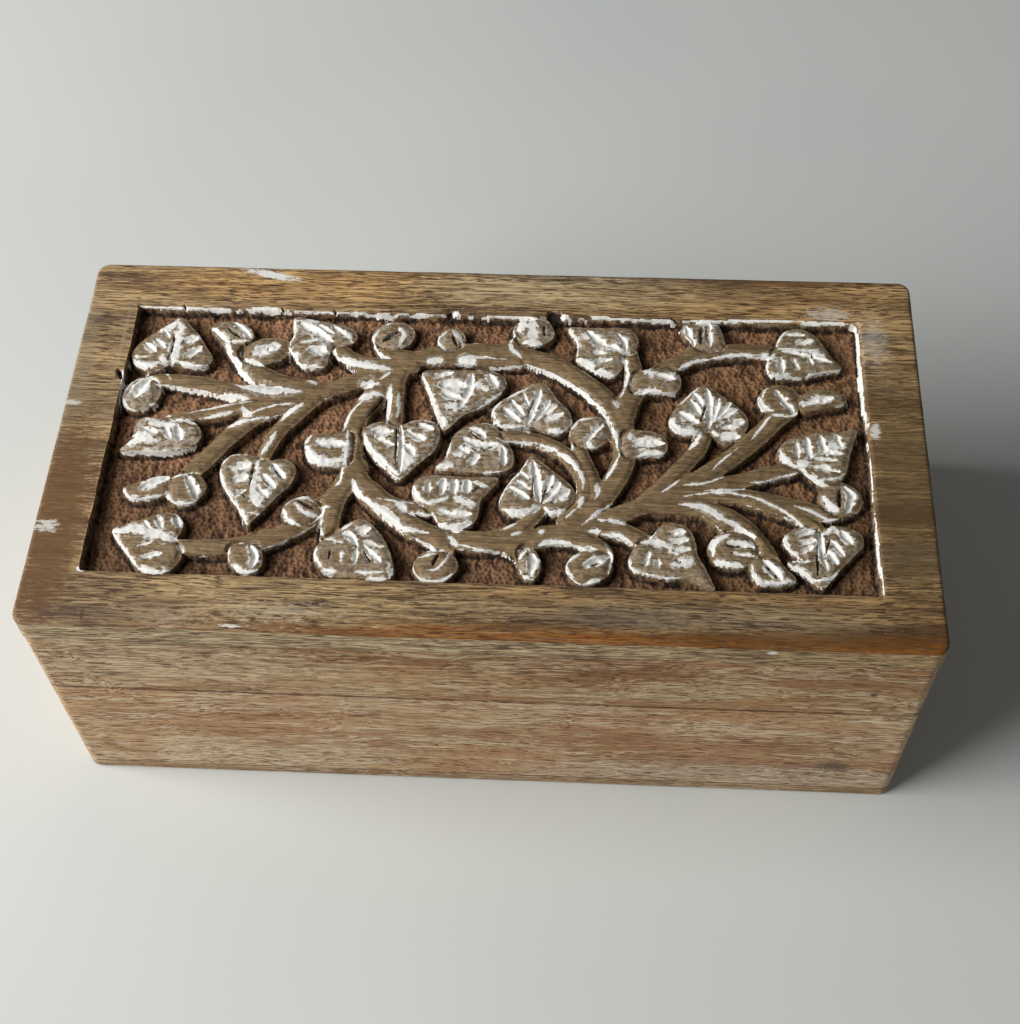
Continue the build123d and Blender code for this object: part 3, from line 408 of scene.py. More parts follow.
BRUSHED = (
    stroke(2.4, (-77.7, 20.8), (-77.6, 26), (-77.3, 31), (-78.6, 34.6)), stroke(2.6, (-79, 33.8), (-82, 30.6)),
    stroke(0.6, (-87.6, 22.8), (-83.4, 22.8)), stroke(1.7, (-87.6, 22), (-86.4, 20.6), (-83.6, 20), (-81.2, 21.4)),
    stroke(1.3, (-81, 23), (-79.4, 20.8)), stroke(1.4, (-77, 21.8), (-72.4, 20.2), (-70, 20.6)),
    stroke(0.6, (-79.6, 19.6), (-77, 16)), stroke(1.0, (-80.2, 15.8), (-84, 17.4), (-87.4, 14.4), (-88.2, 11), (-87, 8),
           (-83.4, 6.2), (-80, 8)), stroke(1.4, (-80, 7.8), (-75.8, 5.3)), stroke(1.4, (-81.4, 8.8), (-78, 9)),
    stroke(1.3, (-81.2, 15), (-74, 13), (-65.6, 11.4)), stroke(2.6, (-66.4, 11.2), (-58, 11)),
    stroke(1.5, (-70, 32.6), (-66, 29), (-64.4, 25), (-63.2, 21)), stroke(3.2, (-63.4, 23.6), (-61.6, 19), (-58, 15)),
    stroke(2.6, (-62, 16.2), (-55, 13.8), (-45.6, 13.4)), stroke(1.3, (-60.8, 23.2), (-55.2, 21.2)),
    stroke(0.5, (-65.4, 28.8), (-60, 28.8)), stroke(1.5, (-81.6, 4.4), (-77, 2.2)), stroke(1.3, (-76, 4), (-72, 3.9), (-69.4, 2.8)),
    stroke(1.8, (-84.6, -3.4), (-79.6, -0.8)), stroke(2.4, (-83, -0.6), (-77.4, -2.6)), stroke(2.0, (-80.4, 2.6), (-74, 2.4)),
    stroke(2.0, (-86, -6.2), (-78, -6), (-72, -5.4), (-67.8, -3.4)), stroke(2.0, (-58.8, 8), (-56.6, 5.6)),
    stroke(1.5, (-61.8, 2.6), (-56.6, 4.8)), stroke(0.8, (-57.6, 6), (-52, 8.8), (-46.4, 10)), stroke(0.7, (-57, 4.4), (-52.2, 5.7)),
    stroke(0.7, (-72.4, 6), (-66, 8), (-56.4, 10.2)), stroke(0.8, (-69, 4.6), (-60, 7.2)), stroke(1.5, (-49.4, 4.6), (-47.4, 7.4), (-44.6, 10)),
    stroke(0.6, (-72.8, -12.2), (-67.8, -10.5)), stroke(1.6, (-83.2, -15.6), (-81.6, -18.6), (-78, -19), (-74, -17.2)),
    stroke(1.4, (-73.2, -15.8), (-71.6, -19), (-68.4, -19.4), (-65, -18.8)), stroke(2.6, (-83.6, -27.6), (-78, -27), (-73, -28.4), (-68.4, -29.2)),
    stroke(0.8, (-83.7, -27.4), (-79.4, -32.8), (-75.6, -37.2)), stroke(1.4, (-76, -37), (-72, -38.1), (-68, -37.2)),
    stroke(0.8, (-68.2, -30.2), (-66.2, -32.6)), stroke(1.2, (-55.6, -35.2), (-52, -37.1), (-49.2, -36.5)), stroke(0.5, (-56.1, -30.8), (-56.1, -34.8)),
    stroke(1.3, (-52.8, -6.2), (-53, -12), (-53.2, -18)), stroke(2.4, (-52.7, -15.4), (-51, -19.8)),
    stroke(1.0, (-61.8, -9), (-60.4, -13.6), (-57.6, -18.4), (-54.6, -21.8), (-53.2, -24.6)), stroke(0.5, (-61.5, -8.6), (-59.4, -5.5), (-55.6, -5.2)),
    stroke(0.7, (-53.6, -21.6), (-50.2, -22)), stroke(1.1, (-50, 1.4), (-52.5, -5.2)), stroke(0.7, (-60.6, -21.9), (-58.2, -20.7)),
    stroke(0.6, (-59.8, -23.3), (-58, -22.9)), stroke(0.8, (-56.8, -25), (-55.2, -23.2)), stroke(0.9, (-49.8, 35.8), (-49.4, 31), (-50.1, 27.2)),
    stroke(2.0, (-50.2, 27.2), (-48.2, 23.4), (-46, 21.4), (-40.4, 21)), stroke(0.8, (-47.6, 28.2), (-42.2, 29.6)),
    stroke(1.4, (-49.6, 35.2), (-43.6, 35)), stroke(1.2, (-37.2, 33), (-35, 29)), stroke(1.2, (-38.7, 27), (-38.4, 24.4)),
    stroke(2.3, (-38.8, 24.2), (-35, 23), (-30, 21.6), (-24.4, 20.7)), stroke(1.0, (-36.2, 21.6), (-33.6, 19.6)), stroke(1.0, (-44.4, 17.2), (-42, 15.8)),
    stroke(1.5, (-23.8, 34.2), (-22.4, 31.8), (-23.2, 28.6)), stroke(1.3, (-28.4, 33.8), (-29.8, 30.4), (-29.2, 27.4), (-27.4, 25.2), (-25, 24.3)),
    stroke(1.1, (-26.7, 36.8), (-26.6, 34.8)), stroke(1.4, (-10.6, 33.8), (-8.8, 31.6), (-8, 28.8)), stroke(0.7, (-11.6, 33.6), (-13.7, 30.8), (-12.8, 28.4), (-11.6, 27.3)),
    stroke(0.6, (-7.5, 32.3), (-4.2, 29.9)), stroke(1.9, (-16.2, 23.5), (-12.2, 24.3)), stroke(2.4, (-8.4, 24.3), (-4.4, 24.4)),
    stroke(1.1, (-7.8, 25.4), (-0.8, 25.6)), stroke(0.6, (-1.6, 25.2), (3.2, 25)), stroke(0.9, (-13.6, 20), (-9.2, 20.7)),
    stroke(1.1, (-16.9, 20), (-14.8, 14), (-12.4, 8), (-10.7, 3.6)), stroke(1.8, (-11.6, 15), (-7.2, 14.4)), stroke(2.4, (-4.2, 17.4), (-1, 15.2)),
    stroke(2.6, (-10.6, 9.8), (-6.6, 10.6)), stroke(1.0, (2.2, 14.8), (-0.4, 12), (-3.4, 9.4)), stroke(1.9, (-11.2, 7), (-10.2, 3.8)),
    stroke(2.6, (-19, -2), (-18.2, -5), (-19, -8)), stroke(1.6, (-29.1, 1.6), (-28, -2), (-24, -6.4), (-20.2, -9.8)),
    stroke(0.7, (-20.2, 5.3), (-16.4, 6.4), (-12.8, 5.5)), stroke(1.6, (-24.2, 16.4), (-24.4, 10), (-24.2, 4.8)), stroke(0.9, (-22, 14), (-21.8, 6)),
    stroke(2.7, (-31.2, 15.8), (-27.2, 16.6)), stroke(1.5, (-29.6, 13.4), (-25.4, 13.2)), stroke(2.0, (-31.6, 12.4), (-28.4, 12.6)),
    stroke(0.6, (-27.2, 17.4), (-24.6, 20.2)), stroke(0.8, (-30.4, 11.6), (-32.8, 8.6), (-33.8, 4.8), (-34.3, 2.2)),
    stroke(2.1, (-42.2, -2.2), (-40, -5.8), (-36.6, -6.6), (-33.2, -6)), stroke(1.1, (-33.2, 2.6), (-32.8, -4), (-33, -9)),
    stroke(0.8, (-33, -8.6), (-33.4, -12), (-34.5, -13.8)), stroke(0.6, (-42.7, -1.8), (-41.3, 1.1)),
    stroke(1.6, (-30.5, -11.4), (-29, -15), (-25.2, -18.2)), stroke(2.8, (-26, -18.2), (-22, -20.6), (-18.2, -24.4)), stroke(1.3, (-18.4, -24.3), (-14.2, -24.8)),
    stroke(0.7, (-15, -24.9), (-11.8, -25.5)), stroke(1.9, (-19.8, -17.2), (-17.4, -19.8)), stroke(1.3, (-18.4, -20.1), (-11.2, -20.6)),
    stroke(0.6, (-24.8, -16.5), (-20, -17), (-13.8, -17.8)), stroke(0.9, (-2.8, -11.2), (1, -12.5)), stroke(1.3, (-16.5, -12.2), (-15.6, -15.4), (-12.8, -17.5)),
    stroke(1.1, (-13, -17.5), (-8, -15.9)), stroke(2.0, (-7, -15.7), (-2, -17.2)), stroke(2.4, (-10, -22.8), (-6, -24), (-2.5, -21.8)),
    stroke(0.7, (-11.7, -19.8), (-10.3, -22.8)), stroke(1.0, (-45.5, -18.8), (-43.6, -16.8), (-41, -16.6), (-38.3, -18.2)),
    stroke(1.0, (-45.5, -19.8), (-44.2, -22.8), (-41.2, -24.1)), stroke(1.1, (-43.2, -18.2), (-40.4, -21), (-37.2, -21.7)),
    stroke(0.9, (-37.6, -19.3), (-35, -19.3)), stroke(0.9, (-36.4, -19.4), (-36.4, -25), (-35.2, -27.6)), stroke(0.6, (-31, -30.8), (-30.8, -34)),
    stroke(1.0, (-34.8, -35.9), (-31.8, -36.3)), stroke(0.9, (-27.8, -36.2), (-20.8, -36.2)), stroke(1.3, (-25.2, -37.6), (-20.6, -38)),
    stroke(1.0, (-20.1, -33.8), (-19.6, -37.8)), stroke(0.9, (-36.6, -30.2), (-36.9, -32.6), (-35, -35.2)), stroke(0.9, (-35, -27.9), (-31, -29)),
    stroke(0.7, (-31.8, -25.7), (-29.4, -23.3)), stroke(0.7, (-7.2, -30), (-7.6, -32.6), (-9.6, -35), (-11.6, -35.2)),
    stroke(0.9, (-14.7, -34.4), (-13.4, -37.2), (-9, -37.8), (-5.8, -35.9)), stroke(0.7, (-13.8, -31.7), (-9.8, -30.6)),
    stroke(1.0, (-14.8, -26.8), (-12, -29.3), (-8.8, -29.8)), stroke(1.2, (-7.6, -26.2), (-5.4, -28.8)), stroke(0.9, (-5.2, -28.4), (0, -29.3), (5, -31), (7.8, -33.6)),
    stroke(2.7, (9, 37.4), (9, 30.6)), stroke(2.1, (6.7, 37.4), (6, 33.2)), stroke(1.7, (6.6, 30.6), (11.4, 30.4)), stroke(1.3, (4, 32), (3.8, 29), (6.6, 25.3)),
    stroke(1.7, (15.8, 39.6), (18.6, 36.8)), stroke(1.0, (20, 37.8), (22.8, 37.8)), stroke(1.1, (18, 35.4), (19.6, 31.4), (20, 26.6)),
    stroke(2.3, (20, 25.8), (23.4, 23.4), (26.6, 21.4), (29, 20.9)), stroke(1.0, (28.4, 28.7), (33.4, 27.9)), stroke(1.1, (21, 33.2), (23, 31.8)),
    stroke(1.1, (31.1, 26.8), (31.9, 23.8)), stroke(1.3, (31.5, 24.8), (32.4, 21), (31.6, 16.8)), stroke(0.6, (31.7, 17.2), (30.5, 14.2)), stroke(1.4, (29.5, 13.6), (30.5, 11.2)),
    stroke(0.9, (-4.2, 22), (2, 22.5), (8.2, 22.9)), stroke(1.6, (7.6, 22.9), (13, 20.6), (18, 17.8), (23, 13.8), (26.6, 9.8), (28.6, 6), (30, 2), (30.6, -3)),
    stroke(0.8, (30.5, -2.8), (29, -6.6), (27.3, -9.8)), stroke(1.0, (2.5, 5), (0.8, 8), (0.7, 10), (2.7, 12.4)), stroke(0.8, (2.5, 5), (8.2, 5)),
    stroke(1.1, (8.1, 5.1), (9.7, 3)), stroke(1.2, (14, 4.2), (17.2, 4)), stroke(0.6, (2.9, 12.6), (8.5, 16.3)), stroke(1.2, (20.3, 8.2), (19.3, 5.2)),
    stroke(0.8, (20, 7.8), (24.2, 8)), stroke(1.1, (19, 1.2), (19.6, -1.2)), stroke(1.3, (22.8, 0.7), (24.8, -0.5)), stroke(1.2, (36.3, 21.4), (37.5, 24.2)),
    stroke(1.4, (36.8, 22.2), (40.2, 20.7)), stroke(1.5, (42.3, 19.8), (43.5, 22.6)), stroke(1.4, (33.8, 15.4), (37, 16.4), (41, 15.8), (44.2, 14.8)),
    stroke(0.9, (33, 4.4), (33, 1.4)), stroke(1.3, (34.8, -2.5), (38, -1.6), (41.2, -1.8)), stroke(1.2, (2.2, -0.2), (3.8, -2.4), (4, -6.4)), stroke(1.1, (2.4, -0.6), (0.6, -2.2)),
    stroke(0.9, (-4.6, 4.3), (-2.6, 3.3)), stroke(1.6, (-2.4, 3), (-0.6, 1)), stroke(1.3, (-6.2, 1), (-3, -0.2), (0.2, -0.7)),
    stroke(0.8, (0.2, -0.7), (2.2, -0.2)), stroke(0.6, (-2, 5.7), (0.8, 5.9), (2, 4.8)), stroke(0.6, (-0.6, -8.5), (3.6, -8)),
    stroke(0.9, (-5.6, -1.4), (-3.4, -2.4), (-2, -2.6)), stroke(1.1, (-8, -3.4), (-5, -4.6)), stroke(0.7, (-8.6, 0), (-9.8, -5.2)), stroke(1.3, (-2, -4.2), (-4.2, -6.3)),
    stroke(1.5, (-11.6, -7), (-7.6, -7)), stroke(1.0, (1.4, 1.5), (6, 0.2), (11.2, 0.4)), stroke(1.2, (10.6, 0.5), (15, -1.4), (19, -4.4), (22, -9), (22.3, -12.4)),
    stroke(1.3, (22.5, -14.2), (21.3, -17.7)), stroke(0.7, (21.1, -17.8), (18.6, -20.6)), stroke(1.2, (25.5, -10.2), (26, -13.6), (25.1, -15.2)),
    stroke(1.7, (4.2, -18.2), (8, -19.4), (12.8, -17.2)), stroke(1.5, (13.8, -17.2), (15, -19), (18.7, -17.9)), stroke(0.7, (3.6, -16.2), (4.6, -12.8), (8.2, -7), (10, -3.6)),
    stroke(0.8, (13.2, -16.6), (16.2, -13.6)), stroke(0.8, (22.4, -22.2), (25, -19.4), (29.2, -15.8)), stroke(1.1, (25.6, -20.6), (30, -20.8), (32.2, -21.7)),
    stroke(1.2, (23.6, -23.6), (26.8, -23.4)), stroke(0.9, (26.6, -23.9), (31, -24.4), (34, -26.3)), stroke(1.1, (12.4, -27.9), (15, -26.8), (19, -26.8), (22.2, -27.9)),
    stroke(1.3, (21, -27.8), (25.9, -28)), stroke(1.0, (12.6, -24.8), (14, -23.9)), stroke(0.8, (6.2, -25.7), (9.2, -24.3)), stroke(0.6, (3.8, -24.3), (7.8, -21.9)),
    stroke(0.6, (39.4, -13.4), (44.8, -8.6)), stroke(0.9, (22.2, -29.3), (19.4, -31.6), (19.4, -34), (20.8, -35.8)), stroke(1.3, (23, -37.5), (26.6, -35.9)),
    stroke(0.7, (27.5, -26.6), (29, -30), (28.3, -34.3)), stroke(0.9, (8.4, -31.4), (10.7, -28)), stroke(0.9, (8.8, -36), (12.3, -35.7)),
    stroke(1.3, (35.8, -26), (38, -25.4)), stroke(1.7, (38.2, -25.6), (41.6, -26.8)), stroke(1.4, (41.8, -27), (43.8, -29.2)), stroke(1.5, (42.2, -25.6), (44.6, -25.6)), stroke(2.0, (42.4, -31.7), (47, -30.5)), stroke(1.0, (33.4, -32.6), (35.4, -34)), stroke(0.6, (33, -30.4), (33.5, -32.4)), stroke(0.6, (35.4, -33.9), (40, -35.2), (44.4, -35.2)),
    stroke(0.7, (37.9, -24.8), (39.5, -21.4)), stroke(1.2, (48.6, 37.6), (54.2, 37.3)), stroke(1.4, (44.2, 23.5), (48, 25.4), (52.2, 27.1)), stroke(0.8, (51.8, 27), (58, 28.2), (64.2, 28.4)),
    stroke(1.8, (64.8, 28.4), (66.8, 27.5)), stroke(1.1, (65.9, 27.6), (65.3, 22.2)), stroke(1.6, (65.3, 22.5), (70, 21.5), (74.2, 21.4)), stroke(1.1, (73.8, 21.5), (78, 23.2), (83.2, 24.5)),
    stroke(0.7, (68.4, 30.4), (76, 30), (78.2, 30.7)), stroke(1.4, (75.8, 29.4), (79.2, 28.5)), stroke(0.6, (68.2, 31), (68.8, 33.8), (70.8, 36.2)),
    stroke(2.0, (42.4, 8.8), (43.2, 5.8), (46.4, 4.6), (49.2, 4.8)), stroke(1.3, (49, 4.8), (48.6, 2.4), (46.6, -0.3)), stroke(0.7, (43.8, 12.2), (49.6, 18.8)), stroke(0.7, (51.8, 5.1), (53.8, 3.7)),
    stroke(1.7, (63.3, 16.2), (64, 13), (66.6, 11.8)), stroke(1.1, (66, 10.8), (70, 10.4), (72.7, 11.5)), stroke(0.6, (63.9, 15.4), (65.5, 19.7)),
    stroke(0.6, (60.8, 2.4), (64, 7.4), (66.6, 11.2)), stroke(0.5, (52, -6), (54, -3.6), (58.2, 0.8)), stroke(1.9, (71.4, -3.7), (73.6, -2.9)), stroke(1.8, (78.8, 2.2), (82.6, 1.6)),
    stroke(1.2, (72.4, -4.6), (75, -7.8), (78.4, -9.5)), stroke(0.6, (74.8, -8.1), (80, -7.4), (82, -5.6)), stroke(1.1, (67.6, 0.9), (68.4, -2), (71.3, -4.1)),
    stroke(1.8, (76.8, -12.2), (78.6, -15.4), (80.3, -15.8)), stroke(0.8, (44.6, -13.7), (52, -12.4), (58, -12.6), (64, -14.4), (69, -17.6), (72.9, -21)),
    stroke(0.7, (49.6, -12), (56, -11.4), (60.2, -10.3)), stroke(0.9, (60.3, -9), (65, -8.4), (71.3, -5.5)), stroke(0.8, (69.7, -14.9), (74, -16.6), (77, -18.4), (81.4, -18.6)),
    stroke(0.7, (45.2, -10.4), (50, -9.8), (54.4, -7.8)), stroke(1.6, (44.2, -15.7), (49.6, -16.4), (53, -18.6), (57.4, -21.4), (61.1, -23.8)),
    stroke(1.4, (55.4, -23.2), (52, -25.6), (51.6, -29.4)), stroke(1.6, (52, -30.2), (56, -31.5)), stroke(1.3, (55.4, -31), (58.3, -31.4)),
    stroke(1.2, (56.6, -25.4), (60.2, -25.4), (60.5, -27.4)), stroke(1.0, (59.9, -31.2), (60.6, -34.4), (62.2, -35.6)), stroke(1.0, (60.8, -35.9), (65, -35.6), (68.9, -34.7)),
    stroke(1.0, (78.7, -20.3), (76.4, -22.8)), stroke(1.0, (78.7, -20.3), (79.9, -23.2)), stroke(1.1, (67.8, -22.8), (68, -26), (70.8, -29)), stroke(1.2, (68, -30.1), (72, -33.4), (73.6, -34.6)),
    stroke(0.8, (68.2, -29.9), (73.2, -29.8)), stroke(0.9, (71.8, -34.4), (76.6, -34), (79.2, -31.4)), stroke(1.3, (-89, 38.6), (-78, 38.2), (-62, 38.1)), stroke(2.0, (-62.6, 38.3), (-56, 38.1), (-50.6, 38)),
    stroke(0.9, (-51, 38), (-42, 38.2), (-40, 38)), stroke(1.5, (-41, 38.1), (-30, 37.7), (-24, 37.6)), stroke(1.8, (-31, 37.6), (-25.6, 36.8)), stroke(1.3, (-25, 37.8), (-18, 37.8), (-12, 38)),
    stroke(1.4, (-11, 39.8), (-9, 37.6)), stroke(0.9, (-9.6, 38), (0, 37.9), (12, 37.8)), stroke(0.8, (-2.4, 38), (-2.2, 36.2)), stroke(1.1, (22.4, 38.7), (30, 38.3), (38, 38.2)), stroke(1.1, (37, 38.2), (42, 38.2), (44.2, 37.8)),
    stroke(1.2, (42.4, 38), (43.8, 35.4)), stroke(0.8, (44, 38.3), (56, 38.6)), stroke(1.2, (55.6, 38.4), (59, 38)), stroke(0.7, (56, 38.8), (75, 39)), stroke(1.4, (74.2, 38.4), (79, 38.4)), stroke(1.0, (78, 38.6), (85.6, 38.6)),
    stroke(2.2, (86.6, 38.6), (86.8, 32), (86.6, 25)), stroke(3.2, (86.7, 27), (86.3, 20), (86.5, 12)), stroke(1.6, (86.6, 14.4), (87.2, 11), (87.2, 7.2)), stroke(1.3, (87, 7.4), (88.6, 8.4)),
    stroke(0.8, (87.4, 7), (87.8, -6), (87.7, -16)), stroke(0.7, (87.8, -14), (88, -28), (88.4, -38.4)), stroke(1.3, (-89.9, -38), (-89.2, -40.4)), stroke(1.1, (-90.4, -37.8), (-87.6, -38.3)), stroke(1.2, (-89.6, 18.2), (-88.2, 14)),
)

SLOTTED = (
    stroke(0.8, (-79.2, 21.6), (-78.7, 26), (-78.7, 30)), stroke(1.1, (-65.8, 32.6), (-62.4, 29.6)),
    stroke(0.7, (-49, -9), (-46.9, -11.3)), stroke(0.7, (-51.2, -12.2), (-49.6, -13.7)), stroke(0.7, (-53.8, -7.6), (-54, -14.6)),
    stroke(1.6, (-27.1, 29.6), (-23.6, 33.2)), stroke(1.1, (-10.4, 32), (-9.3, 28.8)), stroke(0.6, (-21.6, 3.4), (-21.2, -6.4)),
    stroke(1.5, (-25.8, 12.8), (-27.4, 9), (-28.6, 6.2)), stroke(0.8, (-3.1, -14.1), (-0.9, -12.1)), stroke(1.3, (-42.4, -17.4), (-38.4, -20)),
    stroke(0.5, (-33.4, -30.8), (-33.8, -33.2)), stroke(0.6, (-26.2, -30.8), (-24.2, -33.8)), stroke(1.0, (-9.3, -30.7), (-10.4, -34.2)),
    stroke(1.4, (5.3, 34), (6.3, 32.2)), stroke(1.0, (11.8, 35.8), (12, 32.8)), stroke(0.6, (8.7, 7.6), (10.1, 13.6)), stroke(0.9, (11.2, 10.4), (12.8, 11.7)),
    stroke(0.7, (12.7, 8.6), (13.7, 9.5)), stroke(0.7, (-4.8, 4.1), (-1.4, 1.9)), stroke(0.9, (24.4, -32.5), (26.6, -31.3)), stroke(1.1, (43.2, -30.3), (44.6, -31.1)),
    stroke(1.3, (50.2, 36.9), (49.8, 31.2)), stroke(0.7, (49.5, 7.6), (50.7, 12.6)), stroke(1.4, (80.5, -10.8), (80.2, -15.4)), stroke(1.3, (54.6, -26.2), (58.6, -26.4)),
    stroke(1.1, (63.1, -30.8), (65.7, -34.2)), stroke(0.8, (74.8, -25.6), (74.4, -33.4)), stroke(0.5, (13.4, -15.6), (14, -11)), stroke(0.5, (10.8, -15.4), (10.9, -9)),
    stroke(0.8, (76.2, 29), (76.8, 28)), stroke(0.6, (-54.6, -17.4), (-56, -15.8)), stroke(0.6, (77.8, -24.4), (76.4, -28)),
    stroke(0.8, (-4.2, -1.5), (-1.8, -2.6), (1.4, -1.1)), stroke(0.7, (-4.2, 3), (-2.4, 1.2), (-0.6, 0.2)),
)

CHIPPED = (
    stroke(3.8, (13.2, 38.9), (15.8, 38.2)), stroke(2.2, (-11.8, 38.8), (-10.6, 38)), stroke(1.6, (-90.6, 18.4), (-89, 15.4)),
    stroke(0.8, (-40.4, 39), (-39.6, 38.2)), stroke(0.9, (-53.2, 39), (-52.6, 38)), stroke(0.8, (-78, 39.2), (-77.4, 38)),
    stroke(0.9, (42.6, 39), (44.4, 38.4)), stroke(1.2, (83.8, 13), (84.4, 15)),
)


# ------------------------------------------------------------------------------- the carving
@dataclass
class Recess:
    """The sunk field of the lid panel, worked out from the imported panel.

    Attributes:
        border_left: Width of the plain border at the left.
        border_right: Width of the border at the right.
        border_front: Width of the border at the front, and at the back.
        depth: From the panel's top to the floor of the field.
        corner_radius: Radius of the field's corners.
        strip: Width of the border's inner strip that is carved with the field.
    """

    border_left: float = 12.5
    border_right: float = 13.5
    border_front: float = 13.75
    depth: float = 3.0
    corner_radius: float = 0.8
    strip: float = 2.4
    low: Vector = field(init=False)
    high: Vector = field(init=False)

    def __post_init__(self) -> None:
        """Read the panel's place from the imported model."""
        low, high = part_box("lid_panel")
        self.low, self.high = low * PER_METRE, high * PER_METRE

    @property
    def left(self) -> float:
        """Left wall."""
        return self.low.x + self.border_left

    @property
    def right(self) -> float:
        """Right wall."""
        return self.high.x - self.border_right

    @property
    def front(self) -> float:
        """Front wall."""
        return self.low.y + self.border_front

    @property
    def back(self) -> float:
        """Back wall."""
        return self.high.y - self.border_front

    @property
    def floor(self) -> float:
        """Height of the sunk floor."""
        return self.high.z - self.depth

    def inside(self, x: np.ndarray, y: np.ndarray) -> np.ndarray:
        """Distance from the walls, positive inside the field.

        Args:
            x: Places along X.
            y: Places along Y.

        Returns:
            The distances.
        """
        half_x = (self.right - self.left) / 2 - self.corner_radius
        half_y = (self.back - self.front) / 2 - self.corner_radius
        out_x = np.abs(x - (self.left + self.right) / 2) - half_x
        out_y = np.abs(y - (self.front + self.back) / 2) - half_y
        corner = np.hypot(np.maximum(out_x, 0), np.maximum(out_y, 0))
        return self.corner_radius - corner - np.minimum(np.maximum(out_x, out_y), 0)


